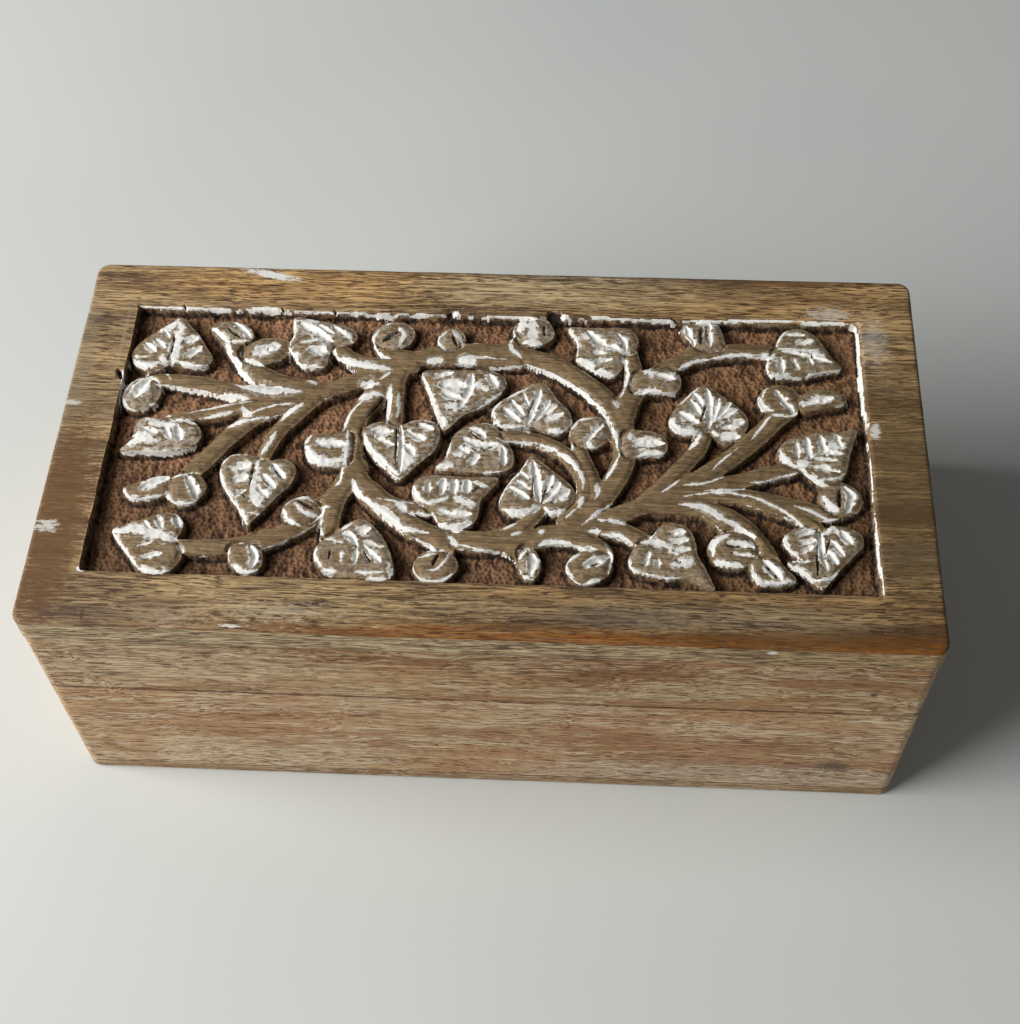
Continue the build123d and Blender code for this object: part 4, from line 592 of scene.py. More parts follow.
@dataclass
class CarvedField:
    """The carving, worked out as heights and paint on a fine grid of places.

    Attributes:
        recess: The sunk field.
        pitch: Distance between neighbouring places.
        wall_run: How far a wall leans out from its top to its foot.
        wobble: How far the hand strays from the drawn line.
        vein_depth: Depth of the deepest gouge.
        punch_pitch: Distance between the dents of the floor's punch.
        punch_depth: Depth of those dents.
    """

    recess: Recess
    pitch: float = 0.28
    wall_run: float = 0.52
    wobble: float = 0.17
    vein_depth: float = 0.66
    punch_pitch: float = 1.05
    punch_depth: float = 0.34
    x: np.ndarray = field(init=False)
    y: np.ndarray = field(init=False)

    def __post_init__(self) -> None:
        """Lay out the grid and carve it."""
        recess, strip = self.recess, self.recess.strip
        columns = round((recess.right - recess.left + 2 * strip) / self.pitch)
        rows = round((recess.back - recess.front + 2 * strip) / self.pitch)
        along = np.linspace(recess.left - strip, recess.right + strip, columns + 1)
        up = np.linspace(recess.front - strip, recess.back + strip, rows + 1)
        self.x, self.y = np.meshgrid(along, up)
        self._stray()
        self._draw()
        self._slopes()
        self._cut()
        self._paint()
        self._settle()

    def _stray(self) -> None:
        """Bend the grid a little, so that no drawn line comes out perfect."""
        x, y = self.x, self.y
        self.hand_x = x + self.wobble * (unevenness(x, y, 5.0, 11) + 0.5 * unevenness(x, y, 1.9, 12))
        self.hand_y = y + self.wobble * (unevenness(x, y, 5.0, 13) + 0.5 * unevenness(x, y, 1.9, 14))

    def _window(self, points: np.ndarray, margin: float) -> tuple[slice, slice]:
        """Rows and columns of the grid within a margin of some points."""
        low, high = points.min(0) - margin, points.max(0) + margin
        along, up = self.x[0], self.y[:, 0]
        columns = slice(int(np.searchsorted(along, low[0])), int(np.searchsorted(along, high[0])))
        rows = slice(int(np.searchsorted(up, low[1])), int(np.searchsorted(up, high[1])))
        return rows, columns

    def _blank(self, value: float) -> np.ndarray:
        """A grid of one value."""
        return np.full_like(self.x, value)

    def _line_distance(self, line: np.ndarray, widths: tuple[float, float], far: float) -> np.ndarray:
        """Distance from the edge of a tapering line, negative inside it.

        Args:
            line: Points and how far along each lies.
            widths: Width at the start and at the end.
            far: Distances above this are not worked out.

        Returns:
            The distances on the grid.
        """
        nearest = self._blank(far)
        for start, end in zip(line, line[1:]):
            window = self._window(np.array([start[:2], end[:2]]), far + max(widths) / 2)
            x, y = self.hand_x[window] - start[0], self.hand_y[window] - start[1]
            run = end[:2] - start[:2]
            share = np.clip((x * run[0] + y * run[1]) / max(float(run @ run), 1e-9), 0, 1)
            along = start[2] + (end[2] - start[2]) * share
            width = widths[0] + (widths[1] - widths[0]) * along
            away = np.hypot(x - run[0] * share, y - run[1] * share) - width / 2
            nearest[window] = np.minimum(nearest[window], away)
        return nearest

    def _outline_distance(self, outline: np.ndarray, far: float) -> tuple[tuple[slice, slice], np.ndarray]:
        """Distance from a closed outline, negative inside it, near the outline only.

        Args:
            outline: Points of the outline in order.
            far: Margin round the outline.

        Returns:
            The rows and columns, and the distances there.
        """
        window = self._window(outline, far)
        x, y = self.hand_x[window], self.hand_y[window]
        nearest = np.full_like(x, 1e9)
        inside = np.zeros(x.shape, bool)
        for start, end in zip(outline, np.roll(outline, -1, axis=0)):
            run = end - start
            share = ((x - start[0]) * run[0] + (y - start[1]) * run[1]) / max(float(run @ run), 1e-9)
            share = np.clip(share, 0, 1)
            away = np.hypot(x - start[0] - run[0] * share, y - start[1] - run[1] * share)
            nearest = np.minimum(nearest, away)
            if start[1] != end[1]:
                crosses = (start[1] > y) != (end[1] > y)
                inside ^= crosses & (x < start[0] + run[0] * (y - start[1]) / run[1])
        return window, np.where(inside, -nearest, nearest)

    def _draw(self) -> None:
        """Find how far every place is from each kind of shape."""
        far = 3.0
        self.from_vines = self._blank(far)
        join = 0.9
        for vine in VINES:
            away = self._line_distance(smooth_line(vine.places), (vine.start_width, vine.end_width), far)
            blend = np.clip(0.5 + (away - self.from_vines) / (2 * join), 0, 1)
            merged = away * (1 - blend) + self.from_vines * blend - join * blend * (1 - blend) / 2
            self.from_vines = merged
        self.from_leaves = self._blank(far)
        self.leaf_sunk = self._blank(0.35)
        self.wash = self._blank(0.0)
        for leaf in LEAVES:
            window, away = self._outline_distance(leaf.outline(), far)
            nearer = away < self.from_leaves[window]
            self.from_leaves[window] = np.minimum(self.from_leaves[window], away)
            self.leaf_sunk[window] = np.where(nearer, leaf.sunk, self.leaf_sunk[window])
            on_leaf = nearer & (away < 0)
            self.wash[window] = np.where(on_leaf, leaf.wash, self.wash[window])
        self.from_buds = self._blank(far)
        for bud in BUDS:
            window = self._window(np.array([bud.middle]), bud.long + far)
            turn = math.radians(bud.turn)
            x, y = self.hand_x[window] - bud.middle[0], self.hand_y[window] - bud.middle[1]
            u = np.abs(x * math.cos(turn) + y * math.sin(turn)) / bud.long
            v = np.abs(y * math.cos(turn) - x * math.sin(turn)) / bud.short
            reach = (u**bud.square + v**bud.square) ** (1 / bud.square)
            away = (reach - 1) * bud.short
            nearer = away < self.from_buds[window]
            self.from_buds[window] = np.minimum(self.from_buds[window], away)
            self.wash[window] = np.where(nearer & (away < 0), bud.wash, self.wash[window])
        shapes = np.minimum(np.minimum(self.from_vines, self.from_leaves), self.from_buds)
        self.from_shapes = shapes
        x, y = self.x, self.y
        waver = 0.16 * unevenness(x, y, 7.0, 21) + 0.1 * unevenness(x, y, 1.6, 22)
        self.from_border = self.recess.inside(x, y) + waver
        self.away = np.minimum(self.from_shapes, self.from_border)

    def _strokes(self, strokes: Sequence[Stroke], out: float | np.ndarray = 0.0, spread: float = 1.0) -> np.ndarray:
        """How deep each place lies in a set of strokes, from 0 outside to 1 in the middle.

        Args:
            strokes: The strokes.
            out: How far out from the nearest shape each place looks for a stroke.
            spread: How much wider than drawn they are taken.

        Returns:
            The depths on the grid.
        """
        deepest = self._blank(0.0)
        look_x, look_y = self.hand_x + out * self.slope_x, self.hand_y + out * self.slope_y
        for one in strokes:
            line = one.line()
            for start, end in zip(line, line[1:]):
                window = self._window(np.array([start[:2], end[:2]]), spread * one.width / 2 + 2.4)
                x, y = look_x[window] - start[0], look_y[window] - start[1]
                run = end[:2] - start[:2]
                share = np.clip((x * run[0] + y * run[1]) / max(float(run @ run), 1e-9), 0, 1)
                along = start[2] + (end[2] - start[2]) * share
                half = spread * one.width / 2 * np.sqrt(np.clip(np.sin(math.pi * along), 0.03, 1))
                away = np.hypot(x - run[0] * share, y - run[1] * share)
                deep = np.clip(1 - (away / half) ** 2, 0, 1)
                deepest[window] = np.maximum(deepest[window], deep)
        return deepest

    def _slopes(self) -> None:
        """Find which way leads out from the nearest shape at every place."""
        slope_y, slope_x = np.gradient(self.away, self.pitch)
        length = np.maximum(np.hypot(slope_x, slope_y), 0.2)
        self.slope_x, self.slope_y = slope_x / length, slope_y / length

    def _cut(self) -> None:
        """Work out the height of every place."""
        x, y, top = self.x, self.y, self.recess.high.z
        on_shape = self.from_shapes < -0.1
        self.gouge = np.where(on_shape, self._strokes(GOUGED), 0)
        self.slot = np.where(on_shape, self._strokes(SLOTTED), 0)
        inside_leaf = np.clip(-self.from_leaves, 0, 9)
        inside_bud = np.clip(-self.from_buds, 0, 9)
        inside_vine = np.clip(-self.from_vines, 0, 9)
        leaf_top = top - self.leaf_sunk - 0.4 * (1 - eased(inside_leaf, 0, 1.5))
        bud_top = top - 0.4 - 0.6 * (1 - eased(inside_bud, 0, 2.0))
        vine_top = top - 0.4 - 0.45 * (1 - eased(inside_vine, 0, 1.5))
        outside = self.from_shapes > 0
        of_leaf = (self.from_leaves < 0) | (outside & (self.from_leaves <= self.from_shapes))
        of_bud = (self.from_buds < 0) | (outside & (self.from_buds <= self.from_shapes))
        carved_top = np.where(of_leaf, leaf_top, np.where(of_bud, bud_top, vine_top))
        outlined = np.minimum(np.abs(self.from_leaves - 0.2), np.abs(self.from_buds - 0.2))
        over_vine = eased(-self.from_vines, 0.2, 0.9)
        self.groove = (1 - eased(outlined, 0.1, 0.55)) * over_vine
        carved_top = carved_top - 0.75 * self.groove
        hand = 0.12 * unevenness(x, y, 3.2, 31) + 0.06 * unevenness(x, y, 1.1, 32)
        hand = hand + 0.07 * unevenness(x, y, 0.6, 36) * (self.from_vines > 0)
        rough = 1 + 0.35 * unevenness(x, y, 0.9, 35)
        carved_top = carved_top + hand - self.vein_depth * rough * self.gouge - 0.8 * self.slot
        chopped = 0.24 * unevenness(x, y * 0.45, 1.2, 34) * eased(self.from_shapes, 0.5, 2.0)
        self.floor_height = self.recess.floor - self._punched() + 0.16 * unevenness(x, y, 4.0, 33) + chopped
        self.chips = self._strokes(CHIPPED)
        rounded = np.maximum(eased(self.slope_y, 0.3, 0.7) * (y < 0), 0)
        rim = np.maximum(eased(-self.slope_y, 0.3, 0.7) * (y > 0), eased(-self.slope_x, 0.3, 0.7) * (x > 0))
        self.worn_rim = np.maximum(rim, rounded * 0.3) * (self.from_border < 0.3)
        border = self._blank(top) - 1.4 * self.chips
        border = border - 0.55 * self.worn_rim * (1 - eased(-self.from_border, 0, 0.8))
        of_border = (self.from_border <= 0) | (self.from_border <= self.from_shapes)
        self.top_height = np.where(of_border, border, np.minimum(carved_top, top - 0.12))

    def _punched(self) -> np.ndarray:
        """Depth of the dents that a round punch left in the floor."""
        pitch = self.punch_pitch
        column, row = np.floor(self.x / pitch), np.floor(self.y / pitch)
        nearest = self._blank(9.0)
        lattice = np.random.default_rng(41).uniform(-0.32, 0.32, (2, 211, 223))
        for step_x in (-1, 0, 1):
            for step_y in (-1, 0, 1):
                cell_x, cell_y = column + step_x, row + step_y
                index = (cell_x.astype(int) % 211, cell_y.astype(int) % 223)
                middle_x = (cell_x + 0.5 + lattice[0][index] + 0.5 * (cell_y % 2)) * pitch
                middle_y = (cell_y + 0.5 + lattice[1][index]) * pitch
                nearest = np.minimum(nearest, np.hypot(self.x - middle_x, self.y - middle_y))
        self.dent = 1 - eased(nearest, 0.1, 0.62 * pitch)
        return self.punch_depth * self.dent

    def _paint(self) -> None:
        """Work out where the brush left its paint."""
        x, y, run = self.x, self.y, self.wall_run
        self.down = np.clip(self.away / run, 0, 1)
        self.on_wall = (self.away > -0.5 * self.pitch) & (self.away < run + 0.4 * self.pitch)
        towards_brush = -(0.5 * self.slope_x + 0.87 * self.slope_y)
        patches = 0.5 + 0.5 * unevenness(x, y, 7.0, 71) + 0.25 * unevenness(x, y, 2.2, 72)
        reached = (0.3 + 0.4 * eased(towards_brush, -0.4, 0.5)) * np.clip(0.5 + 0.75 * patches, 0, 1.2)
        own_border = self.from_border <= self.from_shapes
        reached = np.where(own_border, 0.42 * reached, reached)
        deep = self._strokes(BRUSHED, 0.15 + 1.6 * self.down, 1.2)
        brushed = np.where(own_border, self._torn(np.sqrt(deep), 0.3), self._torn(deep, 0.6))
        self.wall_paint = np.maximum(reached * (1 - 0.75 * self.down), brushed * (1 - 0.2 * self.down))
        on_top = self._strokes(BRUSHED, 0.0, 1.25)
        self.brush_top = np.where(own_border, self._torn(on_top, 0.4), self._torn(on_top, 1.1))
        self.gouge_paint = self._torn(self._strokes(GOUGED, 0.0, 1.6), 1.25)
        self.dusted = self._torn(self._strokes(GOUGED + BRUSHED, 0.0, 2.1), 1.3)

    def _torn(self, deep: np.ndarray, raggedness: float) -> np.ndarray:
        """Cover of brush strokes with torn edges.

        Args:
            deep: How deep each place lies in the strokes.
            raggedness: How torn the edges are.

        Returns:
            The cover, from 0 to 1.
        """
        x, y = self.x, self.y
        torn = 0.42 * unevenness(x, y, 0.7, 74) + 0.34 * unevenness(x, y, 1.9, 75)
        return np.where(deep > 0.02, eased(deep + raggedness * torn, 0.12, 0.5), 0)

    def _settle(self) -> None:
        """Move the places beside a brow onto it, and set all heights."""
        away, run = self.away, self.wall_run
        reach = 0.5 * self.pitch * np.maximum(np.abs(self.slope_x), np.abs(self.slope_y))
        to_brow = np.abs(away) < reach
        shift = np.where(to_brow, -away, 0)
        edge = np.zeros_like(shift, bool)
        edge[0], edge[-1], edge[:, 0], edge[:, -1] = True, True, True, True
        shift = np.where(edge, 0, shift)
        self.place_x = self.x + shift * self.slope_x
        self.place_y = self.y + shift * self.slope_y
        settled = np.where(to_brow, 0, away)
        down = np.clip(settled / run, 0, 1)
        self.height = self.top_height * (1 - down) + self.floor_height * down
        self.settled = settled
        flat_rim = edge | (self.from_border < -self.recess.strip + 1.0)
        self.height = np.where(flat_rim & (self.chips <= 0), self.recess.high.z, self.height)


def mesh_object(name: str, corners: np.ndarray, faces: Sequence[Sequence[int]],
                masks: dict[str, np.ndarray] | None = None, crease: float = 36.0) -> bpy.types.Object:
    """Make a mesh object from corners in millimetres.

    Args:
        name: Name of the piece.
        corners: Corners, one row each.
        faces: Faces as corner numbers.
        masks: Values for each corner by name.
        crease: Edges that turn more than this many degrees stay sharp.

    Returns:
        The object, linked to the scene.
    """
    mesh = bpy.data.meshes.new(name)
    mesh.from_pydata((np.asarray(corners) * MM).tolist(), [], [list(face) for face in faces])
    mesh.update()
    for mask, values in (masks or {}).items():
        layer = mesh.attributes.new(mask, "FLOAT", "POINT")
        layer.data.foreach_set("value", np.asarray(values, np.float32))
    mesh.shade_smooth()
    mesh.set_sharp_from_angle(angle=math.radians(crease))
    piece = bpy.data.objects.new(name, mesh)
    bpy.context.scene.collection.objects.link(piece)
    return piece


def rounded_outline(low: Vector, high: Vector, radius: float, inset: float, step: float) -> np.ndarray:
    """Points round a rounded rectangle, the same number for every inset.

    Args:
        low: Lowest corner.
        high: Highest corner.
        radius: Corner radius before the inset.
        inset: How far the outline is drawn in.
        step: About how far apart the points on a side lie.

    Returns:
        The points in order.
    """
    points = []
    around = 6
    corners = ((high.x, high.y, 0), (low.x, high.y, 90), (low.x, low.y, 180), (high.x, low.y, 270))
    for index, (x, y, start) in enumerate(corners):
        middle = np.array([x - math.copysign(radius, x), y - math.copysign(radius, y)])
        for turn in np.radians(start + 90 * np.arange(around + 1) / around):
            points.append(middle + max(radius - inset, 0.01) * np.array([math.cos(turn), math.sin(turn)]))
        side = high.x - low.x if index % 2 == 0 else high.y - low.y
        after = corners[(index + 1) % 4]
        end_middle = np.array([after[0] - math.copysign(radius, after[0]),
                               after[1] - math.copysign(radius, after[1])])
        turn = math.radians(after[2])
        end = end_middle + max(radius - inset, 0.01) * np.array([math.cos(turn), math.sin(turn)])
        count = round((side - 2 * radius) / step)
        first = points[-1]
        for share in np.arange(1, count) / count:
            points.append(first + (end - first) * share)
    return np.array(points)


# ------------------------------------------------------------------------------- node helpers
class NodeBench:
    """Places and joins the nodes of one material or node group."""

    def __init__(self, tree: bpy.types.NodeTree) -> None:
        """Start on a tree.

        Args:
            tree: The tree to add nodes to.
        """
        self.tree = tree

    def put(self, kind: str, settings: dict[str, object] | None = None, **inputs: object) -> bpy.types.Node:
        """Add a node.

        Args:
            kind: Node type without its ShaderNode prefix.
            settings: Node properties to set.
            **inputs: Values or sockets for inputs, with _ for a space in their names.

        Returns:
            The node.
        """
        node = self.tree.nodes.new("ShaderNode" + kind)
        for name, value in (settings or {}).items():
            setattr(node, name, value)
        for name, value in inputs.items():
            self.feed(node.inputs[name.replace("_", " ")], value)
        return node

    def feed(self, socket: Socket, value: object) -> None:
        """Join a socket to another one, or set its own value."""
        if isinstance(value, bpy.types.NodeSocket):
            self.tree.links.new(value, socket)
        else:
            socket.default_value = value

    def sum_up(self, operation: str, first: object, second: object = 0.0, third: object = 0.0) -> Socket:
        """Result of one arithmetic step."""
        node = self.put("Math", {"operation": operation})
        for socket, value in zip(node.inputs, (first, second, third)):
            self.feed(socket, value)
        return node.outputs[0]

    def stretch(self, vector: object, scale: tuple[float, float, float]) -> Socket:
        """A place, scaled along each axis."""
        node = self.put("VectorMath", {"operation": "MULTIPLY"})
        self.feed(node.inputs[0], vector)
        node.inputs[1].default_value = scale
        return node.outputs[0]

    def speckle(self, vector: object, scale: float = 1.0, detail: float = 2.0, rough: float = 0.5) -> Socket:
        """Cloudy values from 0 to 1."""
        node = self.put("TexNoise", Vector=vector, Scale=scale, Detail=detail, Roughness=rough)
        return node.outputs["Fac"]

    def ramp(self, value: object, low: float, high: float, start: float = 0.0, end: float = 1.0) -> Socket:
        """Smooth step of a value, from start at low to end at high."""
        node = self.put("MapRange", {"interpolation_type": "SMOOTHSTEP"}, Value=value)
        node.inputs["From Min"].default_value = low
        node.inputs["From Max"].default_value = high
        node.inputs["To Min"].default_value = start
        node.inputs["To Max"].default_value = end
        return node.outputs["Result"]

    def blend(self, share: object, first: object, second: object, way: str = "MIX") -> Socket:
        """Mix of two colours."""
        node = self.put("Mix", {"data_type": "RGBA", "blend_type": way})
        colours = [socket for socket in node.inputs if socket.type == "RGBA"]
        self.feed(node.inputs[0], share)
        self.feed(colours[0], first)
        self.feed(colours[1], second)
        return next(socket for socket in node.outputs if socket.type == "RGBA")

    def mask(self, name: str) -> Socket:
        """A value that the mesh carries at its corners."""
        return self.put("Attribute", {"attribute_name": name}).outputs["Fac"]

    def effect(self, group: bpy.types.NodeTree, **inputs: object) -> bpy.types.Node:
        """Place a shared effect."""
        node = self.put("Group")
        node.node_tree = group
        for name, value in inputs.items():
            self.feed(node.inputs[name.replace("_", " ")], value)
        return node


def new_effect(name: str, inputs: dict[str, tuple[str, object]], outputs: dict[str, str]
               ) -> tuple[NodeBench, bpy.types.Node, bpy.types.Node]:
    """Start a shared effect.

    Args:
        name: Name of the effect.
        inputs: Kind and default of each input by name.
        outputs: Kind of each output by name.

    Returns:
        The bench, the node that holds the inputs and the node that takes the outputs.
    """
    tree = bpy.data.node_groups.new(name, "ShaderNodeTree")
    for label, (kind, default) in inputs.items():
        socket = tree.interface.new_socket(label, in_out="INPUT", socket_type="NodeSocket" + kind)
        if kind != "Vector":
            socket.default_value = default
    for label, kind in outputs.items():
        tree.interface.new_socket(label, in_out="OUTPUT", socket_type="NodeSocket" + kind)
    return NodeBench(tree), tree.nodes.new("NodeGroupInput"), tree.nodes.new("NodeGroupOutput")


def wood_grain_effect() -> bpy.types.NodeTree:
    """Grain of mango wood that runs along X: slow figure, streaks and short dark pores."""
    bench, given, result = new_effect(
        "Wood grain",
        {"Place": ("Vector", None), "Waver": ("Float", 5.0), "Pore amount": ("Float", 0.5)},
        {"Figure": "Float", "Streaks": "Float", "Pores": "Float", "Relief": "Float"},
    )
    place = bench.stretch(given.outputs["Place"], (PER_METRE, PER_METRE, PER_METRE))
    bend = bench.speckle(bench.stretch(place, (0.013, 0.03, 0.03)), 1.0, 2.0)
    bend = bench.sum_up("SUBTRACT", bend, 0.5)
    ripple = bench.speckle(bench.stretch(place, (0.07, 0.1, 0.1)), 1.0, 1.0)
    ripple = bench.sum_up("MULTIPLY", bench.sum_up("SUBTRACT", ripple, 0.5), 0.24)
    shift = bench.sum_up("MULTIPLY", bench.sum_up("ADD", bend, ripple), given.outputs["Waver"])
    offset = bench.put("CombineXYZ", Y=shift, Z=shift)
    bent = bench.put("VectorMath", {"operation": "ADD"})
    bench.feed(bent.inputs[0], place)
    bench.feed(bent.inputs[1], offset.outputs[0])
    bent = bent.outputs[0]
    figure = bench.speckle(bench.stretch(bent, (0.008, 0.11, 0.11)), 1.0, 4.0, 0.6)
    streaks = bench.speckle(bench.stretch(bent, (0.06, 1.7, 1.7)), 1.0, 4.0, 0.7)
    dashes = bench.speckle(bench.stretch(bent, (0.22, 3.3, 3.3)), 1.0, 2.0, 0.55)
    fibres = bench.speckle(bench.stretch(bent, (0.35, 8.0, 8.0)), 1.0, 2.0, 0.5)
    crowd = bench.speckle(bench.stretch(place, (0.03, 0.12, 0.12)), 1.0, 2.0)
    gate = bench.sum_up("MULTIPLY_ADD", given.outputs["Pore amount"], -0.2, 0.56)
    gate = bench.sum_up("MULTIPLY_ADD", crowd, 0.22, gate)
    over = bench.sum_up("MULTIPLY", bench.sum_up("SUBTRACT", dashes, gate), 20.0)
    pores = bench.ramp(over, 0.0, 1.0)
    rough = bench.sum_up("MULTIPLY_ADD", fibres, 0.5, bench.sum_up("MULTIPLY", streaks, 0.5))
    relief = bench.sum_up("MULTIPLY_ADD", pores, -0.7, rough)
    bench.feed(result.inputs["Figure"], bench.ramp(figure, 0.36, 0.64))
    bench.feed(result.inputs["Streaks"], bench.ramp(streaks, 0.36, 0.64))
    bench.feed(result.inputs["Pores"], pores)
    bench.feed(result.inputs["Relief"], relief)
    return bench.tree


def broken_paint_effect() -> bpy.types.NodeTree:
    """Dry-brushed paint: an amount from 0 to 1 becomes a patchy cover."""
    bench, given, result = new_effect(
        "Broken paint",
        {"Place": ("Vector", None), "Amount": ("Float", 0.5)},
        {"Cover": "Float"},
    )
    place = bench.stretch(given.outputs["Place"], (PER_METRE, PER_METRE, PER_METRE))
    fine = bench.speckle(bench.stretch(place, (0.8, 1.6, 1.6)), 1.0, 5.0, 0.7)
    broad = bench.speckle(place, 0.3, 2.0, 0.5)
    uneven = bench.sum_up("MULTIPLY_ADD", broad, 0.5, bench.sum_up("MULTIPLY", fine, 1.4))
    over = bench.sum_up("SUBTRACT", bench.sum_up("ADD", given.outputs["Amount"], uneven), 1.59)
    bench.feed(result.inputs["Cover"], bench.ramp(over, -0.05, 0.07))
    return bench.tree


def soft_spot_effect() -> bpy.types.NodeTree:
    """Soft-edged oval spot at a place, in metres."""
    bench, given, result = new_effect(
        "Soft spot",
        {"Place": ("Vector", None), "Middle": ("Vector", None), "Reach": ("Vector", None),
         "Ragged": ("Float", 0.3)},
        {"Spot": "Float"},
    )
    away = bench.put("VectorMath", {"operation": "SUBTRACT"})
    bench.feed(away.inputs[0], given.outputs["Place"])
    bench.feed(away.inputs[1], given.outputs["Middle"])
    scaled = bench.put("VectorMath", {"operation": "DIVIDE"})
    bench.feed(scaled.inputs[0], away.outputs[0])
    bench.feed(scaled.inputs[1], given.outputs["Reach"])
    length = bench.put("VectorMath", {"operation": "LENGTH"})
    bench.feed(length.inputs[0], scaled.outputs[0])
    torn = bench.speckle(bench.stretch(given.outputs["Place"], (450.0, 1300.0, 1300.0)), 1.0, 4.0, 0.7)
    torn = bench.sum_up("MULTIPLY", bench.sum_up("SUBTRACT", torn, 0.5), given.outputs["Ragged"])
    reach = bench.sum_up("ADD", length.outputs["Value"], torn)
    bench.feed(result.inputs["Spot"], bench.ramp(reach, 0.4, 1.0, 1.0, 0.0))
    return bench.tree


@dataclass
class Effects:
    """The shared effects, made once."""

    grain: bpy.types.NodeTree = field(default_factory=wood_grain_effect)
    paint: bpy.types.NodeTree = field(default_factory=broken_paint_effect)
    spot: bpy.types.NodeTree = field(default_factory=soft_spot_effect)


# ------------------------------------------------------------------------------- finishes
class Run(Enum):
    """Which way the grain of a board runs."""

    ALONG_X = 0
    ALONG_Y = 90


@dataclass(frozen=True)
class Mark:
    """A stain, smear or rub on the wood.

    Attributes:
        middle: Its middle, in millimetres.
        reach: Half sizes along X, Y and Z, in millimetres.
        colour: Its colour.
        strength: How strongly it covers.
        ragged: How torn its edge is.
        turn: Its turn about Z, in degrees.
    """

    middle: tuple[float, float, float]
    reach: tuple[float, float, float]
    colour: Shade
    strength: float = 0.8
    ragged: float = 0.9
    turn: float = 0.0


WHITE = shade(250, 248, 241)


def new_material(name: str) -> tuple[bpy.types.Material, NodeBench, bpy.types.Node]:
    """Start a material.

    Args:
        name: Name of the material.

    Returns:
        The material, its bench and its shader.
    """
    material = bpy.data.materials.new(name)
    material.use_nodes = True
    bench = NodeBench(material.node_tree)
    shader = next(node for node in material.node_tree.nodes if node.type == "BSDF_PRINCIPLED")
    return material, bench, shader


@dataclass(frozen=True)
class PlainWood:
    """Natural mango wood of the boards.

    Attributes:
        name: Name of the material.
        run: Which way the grain runs.
        pale: Lightest wood.
        deep: Darkest streaks.
        pink: Reddish patches.
        cream: Bleached patches.
        pore: The short dark marks.
        shade_and_dirt: Painted shade and dirt along the seams.
        seams: Height and reach of the painted shade and dirt of each seam, in millimetres.
        washes: Paler and darker reaches of the wood itself.
        marks: Stains on it.
    """

    name: str
    run: Run
    pale: Shade = shade(196, 168, 126)
    deep: Shade = shade(136, 98, 62)
    pink: Shade = shade(160, 112, 76)
    cream: Shade = shade(208, 190, 156)
    pore: Shade = shade(82, 50, 30)
    shade_and_dirt: Shade = shade(48, 28, 17)
    seams: tuple[tuple[float, float], ...] = ()
    washes: tuple[Mark, ...] = ()
    marks: tuple[Mark, ...] = ()

    def make(self, effects: Effects) -> bpy.types.Material:
        """Build the material.

        Args:
            effects: The shared effects.

        Returns:
            The material.
        """
        material, bench, shader = new_material(self.name)
        place = bench.put("TexCoord").outputs["Object"]
        turned = bench.put("Mapping", {"vector_type": "POINT"}, Vector=place)
        turned.inputs["Rotation"].default_value = (0, 0, math.radians(-self.run.value))
        grain_place = turned.outputs[0]
        grain = bench.effect(effects.grain, Place=grain_place, Waver=11.0, Pore_amount=0.66)
        millimetres = bench.stretch(grain_place, (PER_METRE,) * 3)
        patches = bench.speckle(bench.stretch(millimetres, (0.028, 0.09, 0.09)), 1.0, 3.0, 0.6)
        paler = bench.speckle(bench.stretch(millimetres, (0.02, 0.13, 0.13)), 1.3, 3.0, 0.6)
        colour = bench.blend(grain.outputs["Figure"], self.pale, self.deep)
        feather = bench.sum_up("MULTIPLY_ADD", grain.outputs["Streaks"], -0.16, 0.08)
        patches = bench.sum_up("ADD", patches, feather)
        paler = bench.sum_up("MULTIPLY_ADD", feather, 1.3, paler)
        colour = bench.blend(bench.ramp(patches, 0.42, 0.6, 0.0, 0.7), colour, self.pink)
        colour = bench.blend(bench.ramp(paler, 0.46, 0.64, 0.0, 0.8), colour, self.cream)
        colour = add_marks(bench, effects, place, colour, self.washes)
        soft = bench.sum_up("MULTIPLY", grain.outputs["Streaks"], 0.7)
        colour = bench.blend(soft, colour, self.deep)
        pores = bench.sum_up("MULTIPLY", grain.outputs["Pores"], 0.86)
        colour = bench.blend(pores, colour, self.pore)
        colour = self._seams(bench, place, millimetres, colour)
        colour = add_marks(bench, effects, place, colour, self.marks)
        bench.feed(shader.inputs["Base Color"], colour)
        bench.feed(shader.inputs["Roughness"], bench.ramp(grain.outputs["Relief"], 0, 1, 0.72, 0.5))
        shader.inputs["Specular IOR Level"].default_value = 0.35
        bump = bench.put("Bump", Height=grain.outputs["Relief"])
        bump.inputs["Strength"].default_value = 0.25
        bump.inputs["Distance"].default_value = 0.25 * MM
        bench.feed(shader.inputs["Normal"], bump.outputs[0])
        return material


    def _seams(self, bench: NodeBench, place: Socket, millimetres: Socket, colour: Socket) -> Socket:
        """Painted shade and dirt along the edges where boards meet."""
        height = bench.put("SeparateXYZ", Vector=place).outputs["Z"]
        facing = bench.put("SeparateXYZ", Vector=bench.put("TexCoord").outputs["Normal"]).outputs["Z"]
        upright = bench.ramp(bench.sum_up("ABSOLUTE", facing), 0.6, 0.9, 1.0, 0.12)
        broken = bench.speckle(bench.stretch(millimetres, (0.09, 0.2, 0.2)), 1.0, 3.0, 0.6)
        for seam, reach in self.seams:
            away = bench.sum_up("ABSOLUTE", bench.sum_up("SUBTRACT", height, seam * MM))
            line = bench.ramp(away, 0.45 * reach * MM, reach * MM, 1.0, 0.0)
            share = bench.sum_up("MULTIPLY", line, bench.ramp(broken, 0.3, 0.55, 0.55, 1.0))
            colour = bench.blend(bench.sum_up("MULTIPLY", share, upright), colour, self.shade_and_dirt)
        return colour


